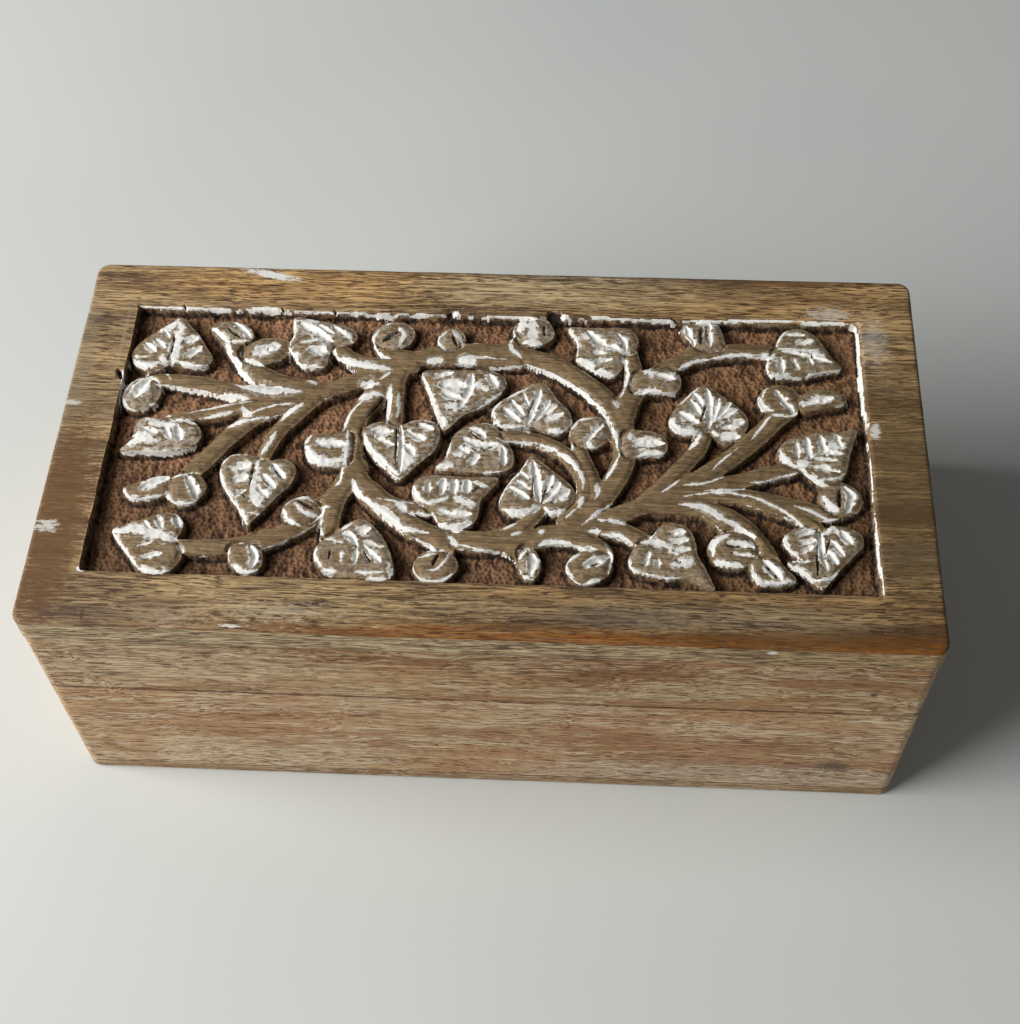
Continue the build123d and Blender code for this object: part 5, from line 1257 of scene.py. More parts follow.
def add_marks(bench: NodeBench, effects: Effects, place: Socket, colour: Socket,
              marks: Sequence[Mark]) -> Socket:
    """Lay marks over a colour.

    Args:
        bench: The material's bench.
        effects: The shared effects.
        place: Places in metres.
        colour: Colour under the marks.
        marks: The marks, lowest first.

    Returns:
        The colour with its marks.
    """
    for mark in marks:
        turned = bench.put("VectorRotate", {"rotation_type": "Z_AXIS"}, Vector=place)
        turned.inputs["Center"].default_value = Vector(mark.middle) * MM
        turned.inputs["Angle"].default_value = -math.radians(mark.turn)
        spot = bench.effect(effects.spot, Place=turned.outputs[0], Ragged=mark.ragged)
        spot.inputs["Middle"].default_value = Vector(mark.middle) * MM
        spot.inputs["Reach"].default_value = Vector(mark.reach) * MM
        share = bench.sum_up("MULTIPLY", spot.outputs["Spot"], mark.strength)
        colour = bench.blend(share, colour, mark.colour)
    return colour


@dataclass(frozen=True)
class CarvedWood:
    """Stained mango wood of the lid panel, whitewashed in the carving.

    Attributes:
        name: Name of the material.
        brown: Stained border.
        dark: Darkest streaks of the border.
        grey: Weathered patches of the border.
        stain: Dark stains of the border.
        orange: Worn front edge.
        front: Unstained front face of the panel.
        vine: Tops of the vines.
        ground: Reddish floor.
        shadow: Painted shade and dirt in the corners, chips, slots and punch dents, and in dark patches on the walls.
        film: Thin worn whitewash.
        paler: Painted light: the border paler towards its lit left side.
        white: Whitewash.
        top: Height of the panel's top, in millimetres.
        front_face: Place of the panel's front face along Y, in millimetres.
        foot: Height of the panel's underside, in millimetres.
    """

    name: str
    top: float
    front_face: float
    foot: float
    brown: Shade = shade(220, 180, 122)
    dark: Shade = shade(96, 66, 38)
    grey: Shade = shade(150, 132, 104)
    orange: Shade = shade(147, 84, 10)
    front: Shade = shade(206, 174, 124)
    stain: Shade = shade(84, 66, 50)
    vine: Shade = shade(158, 132, 96)
    ground: Shade = shade(180, 133, 98)
    shadow: Shade = shade(22, 10, 4)
    film: Shade = shade(242, 238, 228)
    paler: Shade = shade(224, 194, 146)
    white: Shade = WHITE

    def make(self, effects: Effects) -> bpy.types.Material:
        """Build the material.

        Args:
            effects: The shared effects.

        Returns:
            The material.
        """
        material, bench, shader = new_material(self.name)
        place = bench.put("TexCoord").outputs["Object"]
        grain = bench.effect(effects.grain, Place=place, Waver=4.5, Pore_amount=0.66)
        parts = bench.put("SeparateXYZ", Vector=place)
        millimetres = bench.stretch(place, (PER_METRE,) * 3)
        border = self._border(bench, effects, place, millimetres, parts, grain)
        carving = self._carving(bench, effects, place, millimetres, grain)
        sunk = bench.mask("sunk")
        colour = bench.blend(bench.ramp(sunk, 0.3, 0.7), border, carving)
        mottle = bench.speckle(bench.stretch(millimetres, (0.7, 0.9, 0.9)), 1.0, 5.0, 0.68)
        film = bench.sum_up("MULTIPLY", bench.mask("film"), bench.ramp(mottle, 0.44, 0.56, 0.0, 1.0))
        colour = bench.blend(film, colour, self.film)
        paint = self._paint(bench, effects, place)
        tint = bench.speckle(millimetres, 1.3, 4.0, 0.65)
        white = bench.blend(bench.ramp(tint, 0.5, 0.74, 0.0, 0.4), self.white, shade(200, 192, 180))
        colour = bench.blend(paint, colour, white)
        bench.feed(shader.inputs["Base Color"], colour)
        rough = bench.ramp(grain.outputs["Relief"], 0, 1, 0.7, 0.46)
        chalky = bench.sum_up("MAXIMUM", bench.ramp(paint, 0, 1, 0.3, 0.9), bench.ramp(sunk, 0, 1, 0.3, 0.78))
        bench.feed(shader.inputs["Roughness"], bench.sum_up("MAXIMUM", rough, chalky))
        shader.inputs["Specular IOR Level"].default_value = 0.35
        height = bench.sum_up("MULTIPLY_ADD", paint, 0.6, grain.outputs["Relief"])
        height = bench.sum_up("MULTIPLY_ADD", bench.sum_up("MULTIPLY", sunk, mottle), 1.6, height)
        bump = bench.put("Bump", Height=height)
        bump.inputs["Strength"].default_value = 0.35
        bump.inputs["Distance"].default_value = 0.3 * MM
        bench.feed(shader.inputs["Normal"], bump.outputs[0])
        return material

    def _border(self, bench: NodeBench, effects: Effects, place: Socket, millimetres: Socket,
                parts: bpy.types.Node, grain: bpy.types.Node) -> Socket:
        """Colour of the plain border and the outer faces of the panel."""
        colour = bench.blend(grain.outputs["Figure"], self.brown, self.dark)
        # Painted light: the border is paler towards the left, the side that the lamp lights.
        lit_side = bench.ramp(parts.outputs["X"], -0.09, 0.04, 0.5, 0.0)
        colour = bench.blend(lit_side, colour, self.paler)
        patches = bench.speckle(bench.stretch(millimetres, (0.022, 0.09, 0.09)), 1.0, 3.0)
        colour = bench.blend(bench.ramp(patches, 0.5, 0.72, 0.0, 0.7), colour, self.grey)
        colour = add_marks(bench, effects, place, colour, self.washes())
        streak = bench.sum_up("MULTIPLY", grain.outputs["Streaks"], 0.68)
        colour = bench.blend(streak, colour, self.dark)
        stain = bench.speckle(bench.stretch(millimetres, (0.045, 0.3, 0.3)), 1.0, 4.0, 0.6)
        stain = bench.sum_up("MULTIPLY_ADD", grain.outputs["Streaks"], 0.14, stain)
        colour = bench.blend(bench.ramp(stain, 0.58, 0.76, 0.0, 0.6), colour, self.stain)
        pores = bench.sum_up("MULTIPLY", grain.outputs["Pores"], 0.82)
        colour = bench.blend(pores, colour, shade(58, 37, 22))
        flecks = bench.speckle(bench.stretch(millimetres, (1.1, 2.4, 2.4)), 1.0, 3.0, 0.6)
        dusty = bench.speckle(bench.stretch(millimetres, (0.06, 0.12, 0.12)), 1.3, 2.0)
        flecks = bench.sum_up("MULTIPLY", bench.ramp(flecks, 0.66, 0.72), bench.ramp(dusty, 0.45, 0.62))
        colour = bench.blend(bench.sum_up("MULTIPLY", flecks, 0.6), colour, self.film)
        edge_y = (self.front_face + 1.6) * MM
        ragged = bench.speckle(bench.stretch(millimetres, (0.05, 0.8, 0.8)), 1.0, 4.0, 0.6)
        along_edge = bench.sum_up("MULTIPLY_ADD", ragged, 8.0 * MM, parts.outputs["Y"])
        near_edge = bench.ramp(along_edge, edge_y + 3.0 * MM, edge_y + 6.6 * MM, 1.0, 0.0)
        to_right = bench.ramp(parts.outputs["X"], -0.055, -0.02, 0.15, 1.0)
        worn = bench.sum_up("MULTIPLY", near_edge, to_right)
        worn = bench.sum_up("MULTIPLY", worn, bench.ramp(grain.outputs["Streaks"], 0.2, 1.0, 1.0, 0.4))
        colour = bench.blend(bench.sum_up("MULTIPLY", worn, 0.95), colour, self.orange)
        colour = bench.blend(bench.sum_up("MULTIPLY", pores, worn), colour, shade(70, 42, 18))
        below = bench.ramp(parts.outputs["Z"], (self.top - 1.1) * MM, (self.top - 0.55) * MM, 1.0, 0.0)
        # Painted light: the panel's front face is paler on its lit left half.
        lit_left = bench.ramp(parts.outputs["X"], 0.0, 0.09, 0.57, 0.0)
        face = bench.blend(lit_left, self.front, shade(234, 214, 176))
        face = bench.blend(bench.sum_up("MULTIPLY", grain.outputs["Streaks"], 0.9), face, shade(124, 96, 62))
        face = bench.blend(pores, face, shade(66, 48, 32))
        # A dark line along the foot of the front face, under the panel's overhang: painted shade and dirt.
        foot_low, foot_high = (self.foot + 0.15) * MM, (self.foot + 0.75) * MM
        face = bench.blend(bench.ramp(parts.outputs["Z"], foot_low, foot_high, 0.45, 0.0), face, shade(96, 66, 42))
        sideways = bench.put("SeparateXYZ", Vector=bench.put("TexCoord").outputs["Normal"]).outputs["X"]
        ends = bench.ramp(bench.sum_up("ABSOLUTE", sideways), 0.6, 0.9)
        rings = bench.speckle(bench.stretch(millimetres, (0.05, 0.3, 1.7)), 1.0, 4.0, 0.6)
        end_grain = bench.blend(bench.ramp(rings, 0.36, 0.64), shade(198, 168, 124), shade(142, 112, 76))
        dots = bench.speckle(bench.stretch(millimetres, (1.0, 2.2, 3.0)), 1.0, 2.0)
        end_grain = bench.blend(bench.ramp(dots, 0.56, 0.7, 0.0, 0.4), end_grain, shade(92, 66, 42))
        face = bench.blend(ends, face, end_grain)
        colour = bench.blend(below, colour, face)
        return add_marks(bench, effects, place, colour, self.marks())

    def washes(self) -> tuple[Mark, ...]:
        """Paler and darker reaches of the panel's wood."""
        top = self.top
        return (
            Mark((-50, 46.5, top), (56, 8, 2), shade(250, 196, 128), 0.6, 1.2),
            Mark((14, 46.5, top), (50, 8, 2), shade(236, 214, 168), 0.6, 1.4),
            Mark((52, -46, top), (46, 6, 2), shade(180, 164, 130), 0.6, 1.4),
            Mark((96, 20, top), (8, 40, 2), shade(214, 182, 126), 0.4, 1.4),
            Mark((-36, -45, top), (54, 7, 2), shade(240, 208, 152), 0.5, 1.4),
        )

    def marks(self) -> tuple[Mark, ...]:
        """Smears and stains on the panel."""
        top = self.top
        red = shade(96, 44, 34)
        walnut = shade(112, 80, 48)
        return (
            Mark((-97, -26, top), (10, 40, 2), walnut, 0.9, 1.8),
            Mark((95.5, -10, top), (10, 42, 2), shade(98, 80, 48), 0.65, 1.8),
            Mark((60, 47, top), (50, 5, 2), walnut, 0.3, 1.6),
            Mark((-57, 49.6, top), (8.6, 1.5, 2), self.white, 0.95, 2.2, -13),
            Mark((-99.5, 8, top), (2.4, 1.1, 2), self.white, 0.9, 2.6),
            Mark((-98.4, -27, top), (3.0, 2.0, 2), self.film, 0.75, 3.4),
            Mark((91, 33, top), (4, 9, 2), self.film, 0.3, 4.6),
            Mark((81, 41.2, top), (6, 2.4, 2), self.film, 0.45, 4.2),
            Mark((89.8, 6, top), (1.4, 3, 2), self.white, 0.8, 2.6),
            Mark((64, -52, top - 2), (1.4, 1.6, 0.9), self.white, 0.9, 1.6),
            Mark((-85.9, -49.6, top), (0.45, 2.2, 2), red, 0.85, 0.4),
            Mark((-53, -51.2, top), (3.0, 0.5, 2), self.film, 0.8, 3.5),
            Mark((-44, -47.5, top), (14, 2.4, 2), shade(228, 210, 182), 0.3, 8.0),
            Mark((-68, -49.6, top), (9, 2.6, 2), shade(200, 178, 150), 0.42, 5.5),
            Mark((-91, 26, top), (0.7, 15, 2), shade(176, 164, 140), 0.35, 1.7),
            Mark((-86, -49.6, top), (16, 3.0, 2), shade(92, 74, 64), 0.5, 2.6),
            Mark((-70, -47, top), (9, 2.4, 2), shade(126, 104, 84), 0.4, 3.0),
            Mark((72, -50, top), (46, 3.2, 3), shade(100, 68, 30), 0.65, 2.4),
            Mark((30, -46, top), (18, 2.6, 2), shade(92, 82, 74), 0.45, 3.0),
            Mark((-100, 22, top), (4, 30, 2), shade(150, 136, 112), 0.4, 1.5),
        )

    def _carving(self, bench: NodeBench, effects: Effects, place: Socket, millimetres: Socket,
                 grain: bpy.types.Node) -> Socket:
        """Colour of the carved work under its whitewash."""
        parts = bench.put("SeparateXYZ", Vector=place)
        rightwards = bench.ramp(parts.outputs["X"], 0.0, 0.085, 0.0, 0.5)
        top = bench.blend(rightwards, self.vine, shade(136, 115, 76))
        top = bench.blend(bench.sum_up("MULTIPLY", grain.outputs["Streaks"], 0.66), top, shade(86, 66, 42))
        top = bench.blend(bench.sum_up("MULTIPLY", grain.outputs["Pores"], 0.45), top, shade(60, 44, 28))
        zones = bench.speckle(bench.stretch(millimetres, (0.07, 0.09, 0.09)), 1.0, 3.0)
        ground = bench.blend(bench.ramp(zones, 0.4, 0.62, 0.0, 0.7), self.ground, shade(134, 98, 64))
        ground = bench.blend(bench.ramp(parts.outputs["Y"], -0.036, 0.006, 0.5, 0.0), ground, shade(118, 88, 58))
        ground = bench.blend(rightwards, ground, shade(132, 98, 60))
        nicks = bench.speckle(bench.stretch(millimetres, (0.85, 0.3, 0.4)), 1.0, 4.0, 0.62)
        ground = bench.blend(bench.ramp(nicks, 0.46, 0.62, 0.0, 0.9), ground, shade(80, 52, 34))
        # The punch dents are darkened towards the shadow colour: painted shade and dirt in the hollows.
        ground = bench.blend(bench.sum_up("MULTIPLY", bench.mask("dent"), 0.4), ground, self.shadow)
        down = bench.mask("down")
        colour = bench.blend(down, top, ground)
        wall = bench.sum_up("MULTIPLY", down, bench.sum_up("SUBTRACT", 1.0, down))
        # The walls are mottled along the chisel marks: lighter wood in some patches, painted shade in the dark shadow
        # colour in others.
        chisel = bench.speckle(bench.stretch(millimetres, (1.5, 1.5, 0.35)), 1.0, 4.0, 0.65)
        on_wall = bench.ramp(wall, 0.02, 0.16)
        light = bench.sum_up("MULTIPLY", on_wall, bench.ramp(chisel, 0.52, 0.66, 0.0, 0.75))
        colour = bench.blend(light, colour, shade(156, 134, 102))
        deep = bench.sum_up("MULTIPLY", on_wall, bench.ramp(chisel, 0.36, 0.5, 0.85, 0.0))
        colour = bench.blend(deep, colour, self.shadow)
        # Painted shade and dirt near the walls, in chips and in slots, with a ragged edge.
        ragged = bench.speckle(bench.stretch(millimetres, (0.6, 0.6, 0.45)), 1.0, 5.0, 0.7)
        shade_and_dirt = bench.sum_up("MULTIPLY_ADD", ragged, 1.9, bench.mask("shade_and_dirt"))
        return bench.blend(bench.ramp(shade_and_dirt, 1.28, 1.86, 0.0, 0.95), colour, self.shadow)

    def _paint(self, bench: NodeBench, effects: Effects, place: Socket) -> Socket:
        """Cover of the whitewash."""
        amount = bench.mask("paint")
        return bench.effect(effects.paint, Place=place, Amount=amount).outputs["Cover"]


@dataclass(frozen=True)
class Brass:
    """Aged brass of the hinges and screws."""

    name: str = "aged_brass"
    bright: Shade = shade(214, 176, 104)
    dull: Shade = shade(156, 120, 66)

    def make(self) -> bpy.types.Material:
        """Build the material."""
        material, bench, shader = new_material(self.name)
        place = bench.put("TexCoord").outputs["Object"]
        cloud = bench.speckle(place, 450.0, 4.0, 0.6)
        brushed = bench.speckle(bench.stretch(place, (300.0, 6000.0, 6000.0)), 1.0, 2.0)
        bench.feed(shader.inputs["Base Color"], bench.blend(bench.ramp(cloud, 0.4, 0.7), self.bright, self.dull))
        bench.feed(shader.inputs["Roughness"], bench.ramp(brushed, 0.2, 0.8, 0.42, 0.62))
        shader.inputs["Metallic"].default_value = 1.0
        bump = bench.put("Bump", Height=brushed)
        bump.inputs["Strength"].default_value = 0.15
        bump.inputs["Distance"].default_value = 0.05 * MM
        bench.feed(shader.inputs["Normal"], bump.outputs[0])
        return material


@dataclass(frozen=True)
class Felt:
    """Dark red felt of the linings."""

    name: str = "red_felt"
    light: Shade = shade(128, 30, 34)
    deep: Shade = shade(86, 14, 20)

    def make(self) -> bpy.types.Material:
        """Build the material."""
        material, bench, shader = new_material(self.name)
        place = bench.put("TexCoord").outputs["Object"]
        fibres = bench.speckle(place, 2600.0, 4.0, 0.7)
        cloud = bench.speckle(place, 90.0, 3.0)
        share = bench.sum_up("MULTIPLY_ADD", fibres, 0.7, bench.sum_up("MULTIPLY", cloud, 0.4))
        bench.feed(shader.inputs["Base Color"], bench.blend(bench.ramp(share, 0.35, 0.75), self.light, self.deep))
        shader.inputs["Roughness"].default_value = 0.95
        shader.inputs["Sheen Weight"].default_value = 0.12
        shader.inputs["Sheen Roughness"].default_value = 0.5
        bump = bench.put("Bump", Height=fibres)
        bump.inputs["Strength"].default_value = 0.6
        bump.inputs["Distance"].default_value = 0.2 * MM
        bench.feed(shader.inputs["Normal"], bump.outputs[0])
        return material


def dress(piece: bpy.types.Object, material: bpy.types.Material) -> None:
    """Give a piece one material.

    Args:
        piece: The piece.
        material: Its finish.
    """
    if not piece.material_slots:
        piece.data.materials.append(material)
        return
    for slot in piece.material_slots:
        slot.material = material


# ------------------------------------------------------------------------------- sub-assemblies
@dataclass
class CarvedLid:
    """The lid panel: its plain border and its carved field.

    Attributes:
        effects: The shared effects.
        recess: Where the field lies.
        outer_radius: Radius of the upright corners.
        top_ease: Worn top edge.
        under_ease: Eased lower edge.
        seat_depth: How far the carved field reaches into the board, under its floor.
    """

    effects: Effects
    recess: Recess = field(default_factory=Recess)
    outer_radius: float = 3.0
    top_ease: float = 0.9
    under_ease: float = 0.35
    seat_depth: float = 0.9

    def build(self) -> list[bpy.types.Object]:
        """Make the pieces and dress them.

        Returns:
            The border board, the floor with its walls and the raised work.
        """
        self.finish = CarvedWood("whitewashed_carving", self.recess.high.z, self.recess.low.y, self.recess.low.z)
        material = self.finish.make(self.effects)
        carving = CarvedField(self.recess)
        pieces = [self._board(), *self._field(carving)]
        for piece in pieces:
            dress(piece, material)
            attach(piece, "lid")
        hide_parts("lid_panel")
        return pieces

    def _masks(self, carving: CarvedField) -> dict[str, np.ndarray]:
        """Values that the material reads, for every place of the grid."""
        settled, run = carving.settled, carving.wall_run
        x, y = carving.x, carving.y
        inside = np.clip(-settled, 0, 9)
        on_border = carving.from_border <= 0
        on_top = (settled <= 0) & ~on_border
        patches = 0.5 + 0.5 * unevenness(x, y, 5.0, 73)
        brow = (1 - eased(inside, 0.05, 0.5)) * (0.25 + 0.45 * patches) * (0.5 + 0.5 * carving.wall_paint)
        filled = 0.95 * carving.gouge_paint
        tops = np.maximum(np.maximum(brow, filled), np.maximum(0.6 * carving.groove, 0.95 * carving.brush_top))
        worn = 0.34 * carving.wash * (0.6 + 0.8 * patches)
        paint = np.where(on_top, np.maximum(tops, worn), 0)
        paint = np.where(carving.on_wall, np.maximum(paint, carving.wall_paint), paint)
        on_rim = on_border & ~carving.on_wall
        paint = np.where(on_rim, 0.95 * carving.brush_top * (1 - eased(inside, 0.5, 1.0)), paint)
        paint = paint * (1 - 0.8 * eased(carving.slot, 0.2, 0.7))
        far_floor = (settled > run) & ~carving.on_wall
        paint = np.where(far_floor, 0.12 + 0.12 * patches, paint)
        film = np.where(on_top, 0.5 * carving.wash * (1 - 0.5 * eased(-carving.from_vines, 0, 1) * (carving.from_leaves > 0)), 0)
        on_leaf = (carving.from_leaves < 0) | (carving.from_buds < 0)
        film = np.maximum(film, np.where(on_top, carving.dusted * np.where(carving.from_leaves < 0, 0.85, np.where(on_leaf, 0.4, 0.3)), 0))
        down = np.clip(settled / run, 0, 1)
        # Painted shade and dirt: the floor darker near the walls, and the chips and slots dark.
        near_wall = 1 - eased(settled, run, run + 1.4)
        shade_and_dirt = np.where(settled > 0, 0.85 * near_wall * (0.35 + 0.65 * down), 0)
        shade_and_dirt = np.maximum(shade_and_dirt, 0.9 * eased(carving.chips, 0.15, 0.6))
        shade_and_dirt = np.maximum(shade_and_dirt, 0.8 * eased(carving.slot, 0.2, 0.7))
        sunk = np.where(on_border & (settled < -0.05) & (carving.chips < 0.2), 0.0, 1.0)
        return {"paint": paint, "film": film, "down": down, "shade_and_dirt": shade_and_dirt, "sunk": sunk,
                "dent": np.where(settled > 0, carving.dent, 0)}

    def _field(self, carving: CarvedField) -> list[bpy.types.Object]:
        """Split the grid into the ground, the vines and the leaves."""
        rows, columns = carving.x.shape
        number = np.arange(rows * columns).reshape(rows, columns)
        height = carving.height
        corners = np.stack([carving.place_x, carving.place_y, height], -1).reshape(-1, 3)
        first, second = number[:-1, :-1], number[:-1, 1:]
        third, fourth = number[1:, 1:], number[1:, :-1]
        level = np.abs(height[:-1, :-1] - height[1:, 1:]) <= np.abs(height[:-1, 1:] - height[1:, :-1])
        lower = np.where(level[..., None], np.stack([first, second, third], -1), np.stack([first, second, fourth], -1))
        upper = np.where(level[..., None], np.stack([first, third, fourth], -1), np.stack([second, third, fourth], -1))
        triangles = np.concatenate([lower.reshape(-1, 3), upper.reshape(-1, 3)])
        raised = (carving.settled <= 0) & (carving.from_border > 0)
        on_leaf = raised & ((carving.from_leaves <= 0.3) | (carving.from_buds <= 0.3))
        leaf = on_leaf.reshape(-1)[triangles].any(axis=1)
        vine = raised.reshape(-1)[triangles].any(axis=1) & ~leaf
        masks = {name: values.reshape(-1) for name, values in self._masks(carving).items()}
        pieces = []
        parts = (("lid_carved_ground", ~(leaf | vine)), ("lid_carved_vines", vine), ("lid_carved_leaves", leaf))
        for name, chosen in parts:
            used, faces = np.unique(triangles[chosen], return_inverse=True)
            part = {mask: values[used] for mask, values in masks.items()}
            pieces.append(mesh_object(name, corners[used], faces.reshape(-1, 3), part, crease=52.0))
        return pieces

    def _board(self) -> bpy.types.Object:
        """The panel's board: worn outer edges and an opening for the carved field."""
        low, high = self.recess.low, self.recess.high
        levels = [(low.z, self.under_ease), (low.z + self.under_ease, 0.0)]
        for turn in np.radians(np.linspace(0, 90, 6)):
            rise = self.top_ease * (1 - math.sin(turn))
            levels.append((high.z - rise, self.top_ease * (1 - math.cos(turn))))
        levels.append((high.z, self.top_ease + 0.5))
        rings = []
        for height, inset in levels:
            ring = rounded_outline(low, high, self.outer_radius, inset, 1.6)
            rings.append(np.column_stack([ring, np.full(len(ring), height)]))
        wear = 1 + 0.3 * unevenness(rings[0][:, 0], rings[0][:, 1], 6.0, 51)
        for ring, (height, _) in zip(rings[2:], levels[2:]):
            ring[:, 2] = high.z - (high.z - height) * np.clip(wear, 0.6, 1.3)
        count = len(rings[0])
        strip = self.recess.strip
        opening_low = Vector((self.recess.left - strip, self.recess.front - strip, 0))
        opening_high = Vector((self.recess.right + strip, self.recess.back + strip, 0))
        opening = self._opening(rings[-1], opening_low, opening_high)
        floor = self.recess.floor - self.seat_depth
        rings.append(np.column_stack([opening, np.full(count, high.z)]))
        rings.append(np.column_stack([opening, np.full(count, floor)]))
        corners = np.vstack(rings)
        faces = []
        for level in range(len(rings) - 1):
            for index in range(count):
                after = (index + 1) % count
                base = level * count
                faces.append((base + index, base + after, base + count + after, base + count + index))
        faces.append(tuple(reversed(range(count))))
        last = (len(rings) - 1) * count
        faces.append(tuple(range(last, last + count)))
        return mesh_object("lid_panel_board", corners, faces)

    def _opening(self, ring: np.ndarray, low: Vector, high: Vector) -> np.ndarray:
        """Points on a rectangle, one for every point of the ring round it."""
        points = []
        for x, y, _ in ring:
            points.append((min(max(x, low.x), high.x), min(max(y, low.y), high.y)))
        return np.array(points)


@dataclass
class Boards:
    """The boards of the base, the rails of the lid and the bottom board, dressed as they are."""

    effects: Effects

    def build(self) -> list[bpy.types.Object]:
        """Dress every board.

        Returns:
            The dressed pieces.
        """
        marks = (
            Mark((88.5, -52, 54), (1.2, 2, 0.8), shade(40, 34, 30), 0.85),
            Mark((85, -52, 16), (6.0, 2, 3.4), shade(84, 70, 66), 0.7, 1.8),
            Mark((-84, -52, 52), (3.0, 2, 1.2), shade(96, 88, 78), 0.6),
        )
        washes = (
            Mark((-74, -52, 57), (54, 6, 14), shade(240, 222, 186), 0.5, 1.0),
            Mark((60, -52, 8), (70, 6, 10), shade(240, 228, 204), 0.6, 1.0),
            Mark((-60, -52, 8), (26, 6, 12), shade(236, 220, 192), 0.42, 1.4),
        )
        seam = (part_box("base_front_board")[1].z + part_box("lid_front_rail")[0].z) / 2 * PER_METRE
        panel_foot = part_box("lid_panel")[0].z * PER_METRE
        board_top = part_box("base_bottom_board")[1].z * PER_METRE
        # The dark line along each seam is painted shade and dirt: base and rail, panel and rail, bottom board and the
        # boards above.
        seams = ((seam, 0.62), (panel_foot, 0.3), (board_top, 0.4))
        base_shades = {"pale": shade(226, 196, 150), "deep": shade(162, 119, 78), "pink": shade(202, 156, 112),
                       "cream": shade(232, 214, 180), "pore": shade(112, 66, 38)}
        rail_shades = {"pale": shade(211, 177, 127), "deep": shade(141, 99, 58), "pink": shade(184, 135, 89),
                       "cream": shade(222, 200, 162), "pore": shade(96, 56, 30)}
        bottom_shades = {"pale": shade(214, 190, 150), "deep": shade(150, 116, 78), "pink": shade(190, 152, 112),
                         "cream": shade(226, 210, 178), "pore": shade(110, 74, 46)}
        finishes = {
            ("base", Run.ALONG_X): PlainWood("base_mango_along", Run.ALONG_X, seams=seams, washes=washes, marks=marks,
                                                **base_shades),
            ("base", Run.ALONG_Y): PlainWood("base_mango_across", Run.ALONG_Y, seams=seams, **base_shades),
            ("lid", Run.ALONG_X): PlainWood("rail_mango_along", Run.ALONG_X, seams=seams, washes=washes, marks=marks,
                                               **rail_shades),
            ("lid", Run.ALONG_Y): PlainWood("rail_mango_across", Run.ALONG_Y, seams=seams, **rail_shades),
        }
        made = {key: finish.make(self.effects) for key, finish in finishes.items()}
        bottom = PlainWood("bottom_board_wood", Run.ALONG_X, **bottom_shades).make(self.effects)
        pieces = []
        for name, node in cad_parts.items():
            owner = name.split("_")[0]
            if name.endswith(("front_board", "back_board", "front_rail", "back_rail")):
                dress(node, made[owner, Run.ALONG_X])
            elif name.endswith(("left_board", "right_board", "left_rail", "right_rail")):
                dress(node, made[owner, Run.ALONG_Y])
            elif name == "base_bottom_board":
                dress(node, bottom)
            else:
                continue
            pieces.append(node)
        return pieces


@dataclass
class Hinges:
    """Brass butt hinges, their pins and screws."""

    def build(self) -> list[bpy.types.Object]:
        """Dress the hinges and screws in brass."""
        brass = Brass().make()
        pieces = [node for name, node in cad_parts.items() if "hinge" in name]
        for piece in pieces:
            dress(piece, brass)
        return pieces


@dataclass
class Lining:
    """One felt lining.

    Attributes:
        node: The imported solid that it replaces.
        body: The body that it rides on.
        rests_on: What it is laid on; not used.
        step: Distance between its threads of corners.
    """

    node: str
    body: str
    rests_on: str
    step: float = 2.2

    def build(self, material: bpy.types.Material) -> bpy.types.Object:
        """Make the felt sheet.

        Args:
            material: Its finish.

        Returns:
            The sheet.
        """
        low, high = (corner * PER_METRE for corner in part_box(self.node))
        columns = round((high.x - low.x) / self.step)
        rows = round((high.y - low.y) / self.step)
        x, y = np.meshgrid(np.linspace(low.x, high.x, columns + 1), np.linspace(low.y, high.y, rows + 1))
        swell = 0.06 * (unevenness(x, y, 9.0, 61) - 1)
        edge = np.zeros(x.shape, bool)
        edge[0], edge[-1], edge[:, 0], edge[:, -1] = True, True, True, True
        facing_up = self.body == "base"
        face = (high.z + swell if facing_up else low.z - swell) - np.where(edge, 0.3, 0) * (1 if facing_up else -1)
        glued = np.full_like(x, low.z if facing_up else high.z)
        upper, lower = (face, glued) if facing_up else (glued, face)
        number = np.arange(x.size).reshape(x.shape)
        quads = np.stack([number[:-1, :-1], number[:-1, 1:], number[1:, 1:], number[1:, :-1]], -1).reshape(-1, 4)
        rim = np.concatenate([number[0], number[1:, -1], number[-1, -2::-1], number[-2:0:-1, 0]])
        sides = [(a + x.size, b + x.size, b, a) for a, b in zip(rim, np.roll(rim, -1))]
        corners = np.vstack([np.stack([x, y, upper], -1).reshape(-1, 3), np.stack([x, y, lower], -1).reshape(-1, 3)])
        faces = [*quads.tolist(), *(quads[:, ::-1] + x.size).tolist(), *sides]
        piece = mesh_object(f"{self.node}_felt", corners, faces)
        dress(piece, material)
        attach(piece, self.body)
        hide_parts(self.node)
        return piece


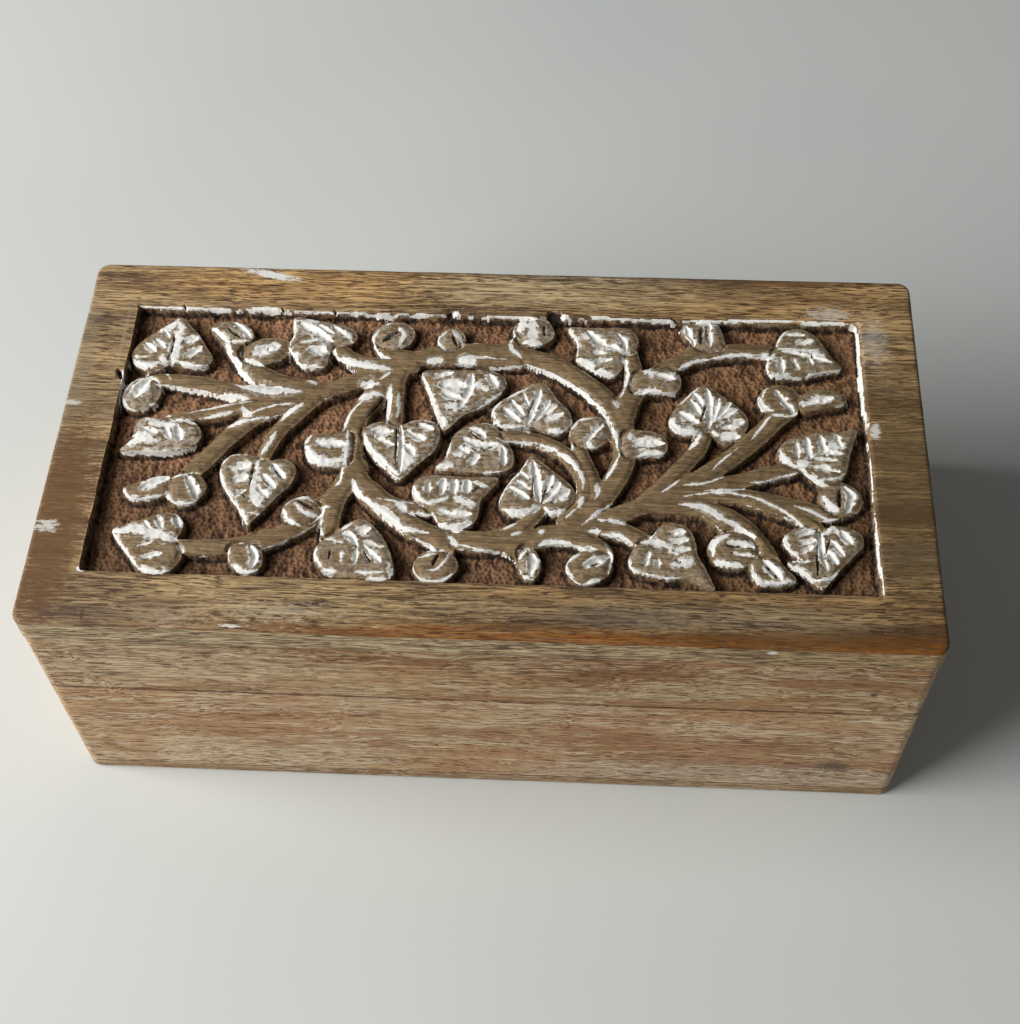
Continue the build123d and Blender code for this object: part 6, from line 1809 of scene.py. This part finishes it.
@dataclass
class Studio:
    """Pale floor, soft light and the camera.

    Attributes:
        camera_place: Where the camera stands, in metres.
        camera_turn: Its turn about X, Y and Z, in degrees.
        lens: Focal length for a 36 mm sensor.
        floor_shade: Colour of the floor.
    """

    camera_place: tuple[float, float, float] = (0.02187, -0.21993, 0.37819)
    camera_turn: tuple[float, float, float] = (33.5, 1.108, 2.835)
    lens: float = 56.7
    floor_shade: Shade = shade(222, 224, 220)

    def build(self) -> None:
        """Set up the floor, the light and the camera."""
        self._floor()
        self._lights()
        self._camera()
        bpy.context.scene.view_settings.view_transform = "Standard"

    def _floor(self) -> None:
        """A plain pale floor."""
        size = 3000.0
        floor = mesh_object("floor", np.array([(-size, -size, 0), (size, -size, 0), (size, size, 0), (-size, size, 0)]),
                            [(0, 1, 2, 3)])
        material, bench, shader = new_material("pale_floor")
        place = bench.put("TexCoord").outputs["Object"]
        cloud = bench.speckle(place, 6.0, 2.0)
        colour = bench.blend(bench.ramp(cloud, 0.3, 0.7), self.floor_shade, shade(216, 219, 215))
        bench.feed(shader.inputs["Base Color"], colour)
        shader.inputs["Roughness"].default_value = 0.9
        shader.inputs["Specular IOR Level"].default_value = 0.1
        dress(floor, material)

    def _lights(self) -> None:
        """A large soft lamp from the left, a little in front, and a faint even sky."""
        world = bpy.data.worlds.new("studio")
        world.use_nodes = True
        background = next(node for node in world.node_tree.nodes if node.type == "BACKGROUND")
        background.inputs["Color"].default_value = (0.98, 1.0, 1.0, 1.0)
        background.inputs["Strength"].default_value = 0.1
        bpy.context.scene.world = world
        lamp = bpy.data.lights.new("window", "AREA")
        lamp.shape = "RECTANGLE"
        lamp.size, lamp.size_y = 0.85, 0.7
        lamp.energy = 17.0
        window = bpy.data.objects.new("window", lamp)
        window.location = (-0.887, -0.254, 0.629)
        towards = Vector((0, 0, 0.03)) - window.location
        window.rotation_euler = towards.to_track_quat("-Z", "Y").to_euler()
        bpy.context.scene.collection.objects.link(window)

    def _camera(self) -> None:
        """The camera."""
        view = bpy.data.cameras.new("camera")
        view.lens = self.lens
        view.sensor_width = 36.0
        camera = bpy.data.objects.new("camera", view)
        camera.location = self.camera_place
        camera.rotation_euler = [math.radians(turn) for turn in self.camera_turn]
        bpy.context.scene.collection.objects.link(camera)
        bpy.context.scene.camera = camera


def report(pieces: Sequence[bpy.types.Object]) -> None:
    """Log each piece and its size."""
    for piece in pieces:
        log.info("%s: %d faces", piece.name, len(piece.data.polygons))


def main() -> None:
    """Build and dress the box and its studio."""
    logging.basicConfig(level=logging.INFO, format="%(message)s")
    Studio().build()
    effects = Effects()
    lid = CarvedLid(effects).build()
    report(lid)
    report(Boards(effects).build())
    report(Hinges().build())
    felt = Felt().make()
    report([Lining("base_lining", "base", "base_bottom_board").build(felt)])
    report([Lining("lid_lining", "lid", lid[0].name).build(felt)])
    bpy.context.view_layer.update()


if __name__ == "__main__":
    main()
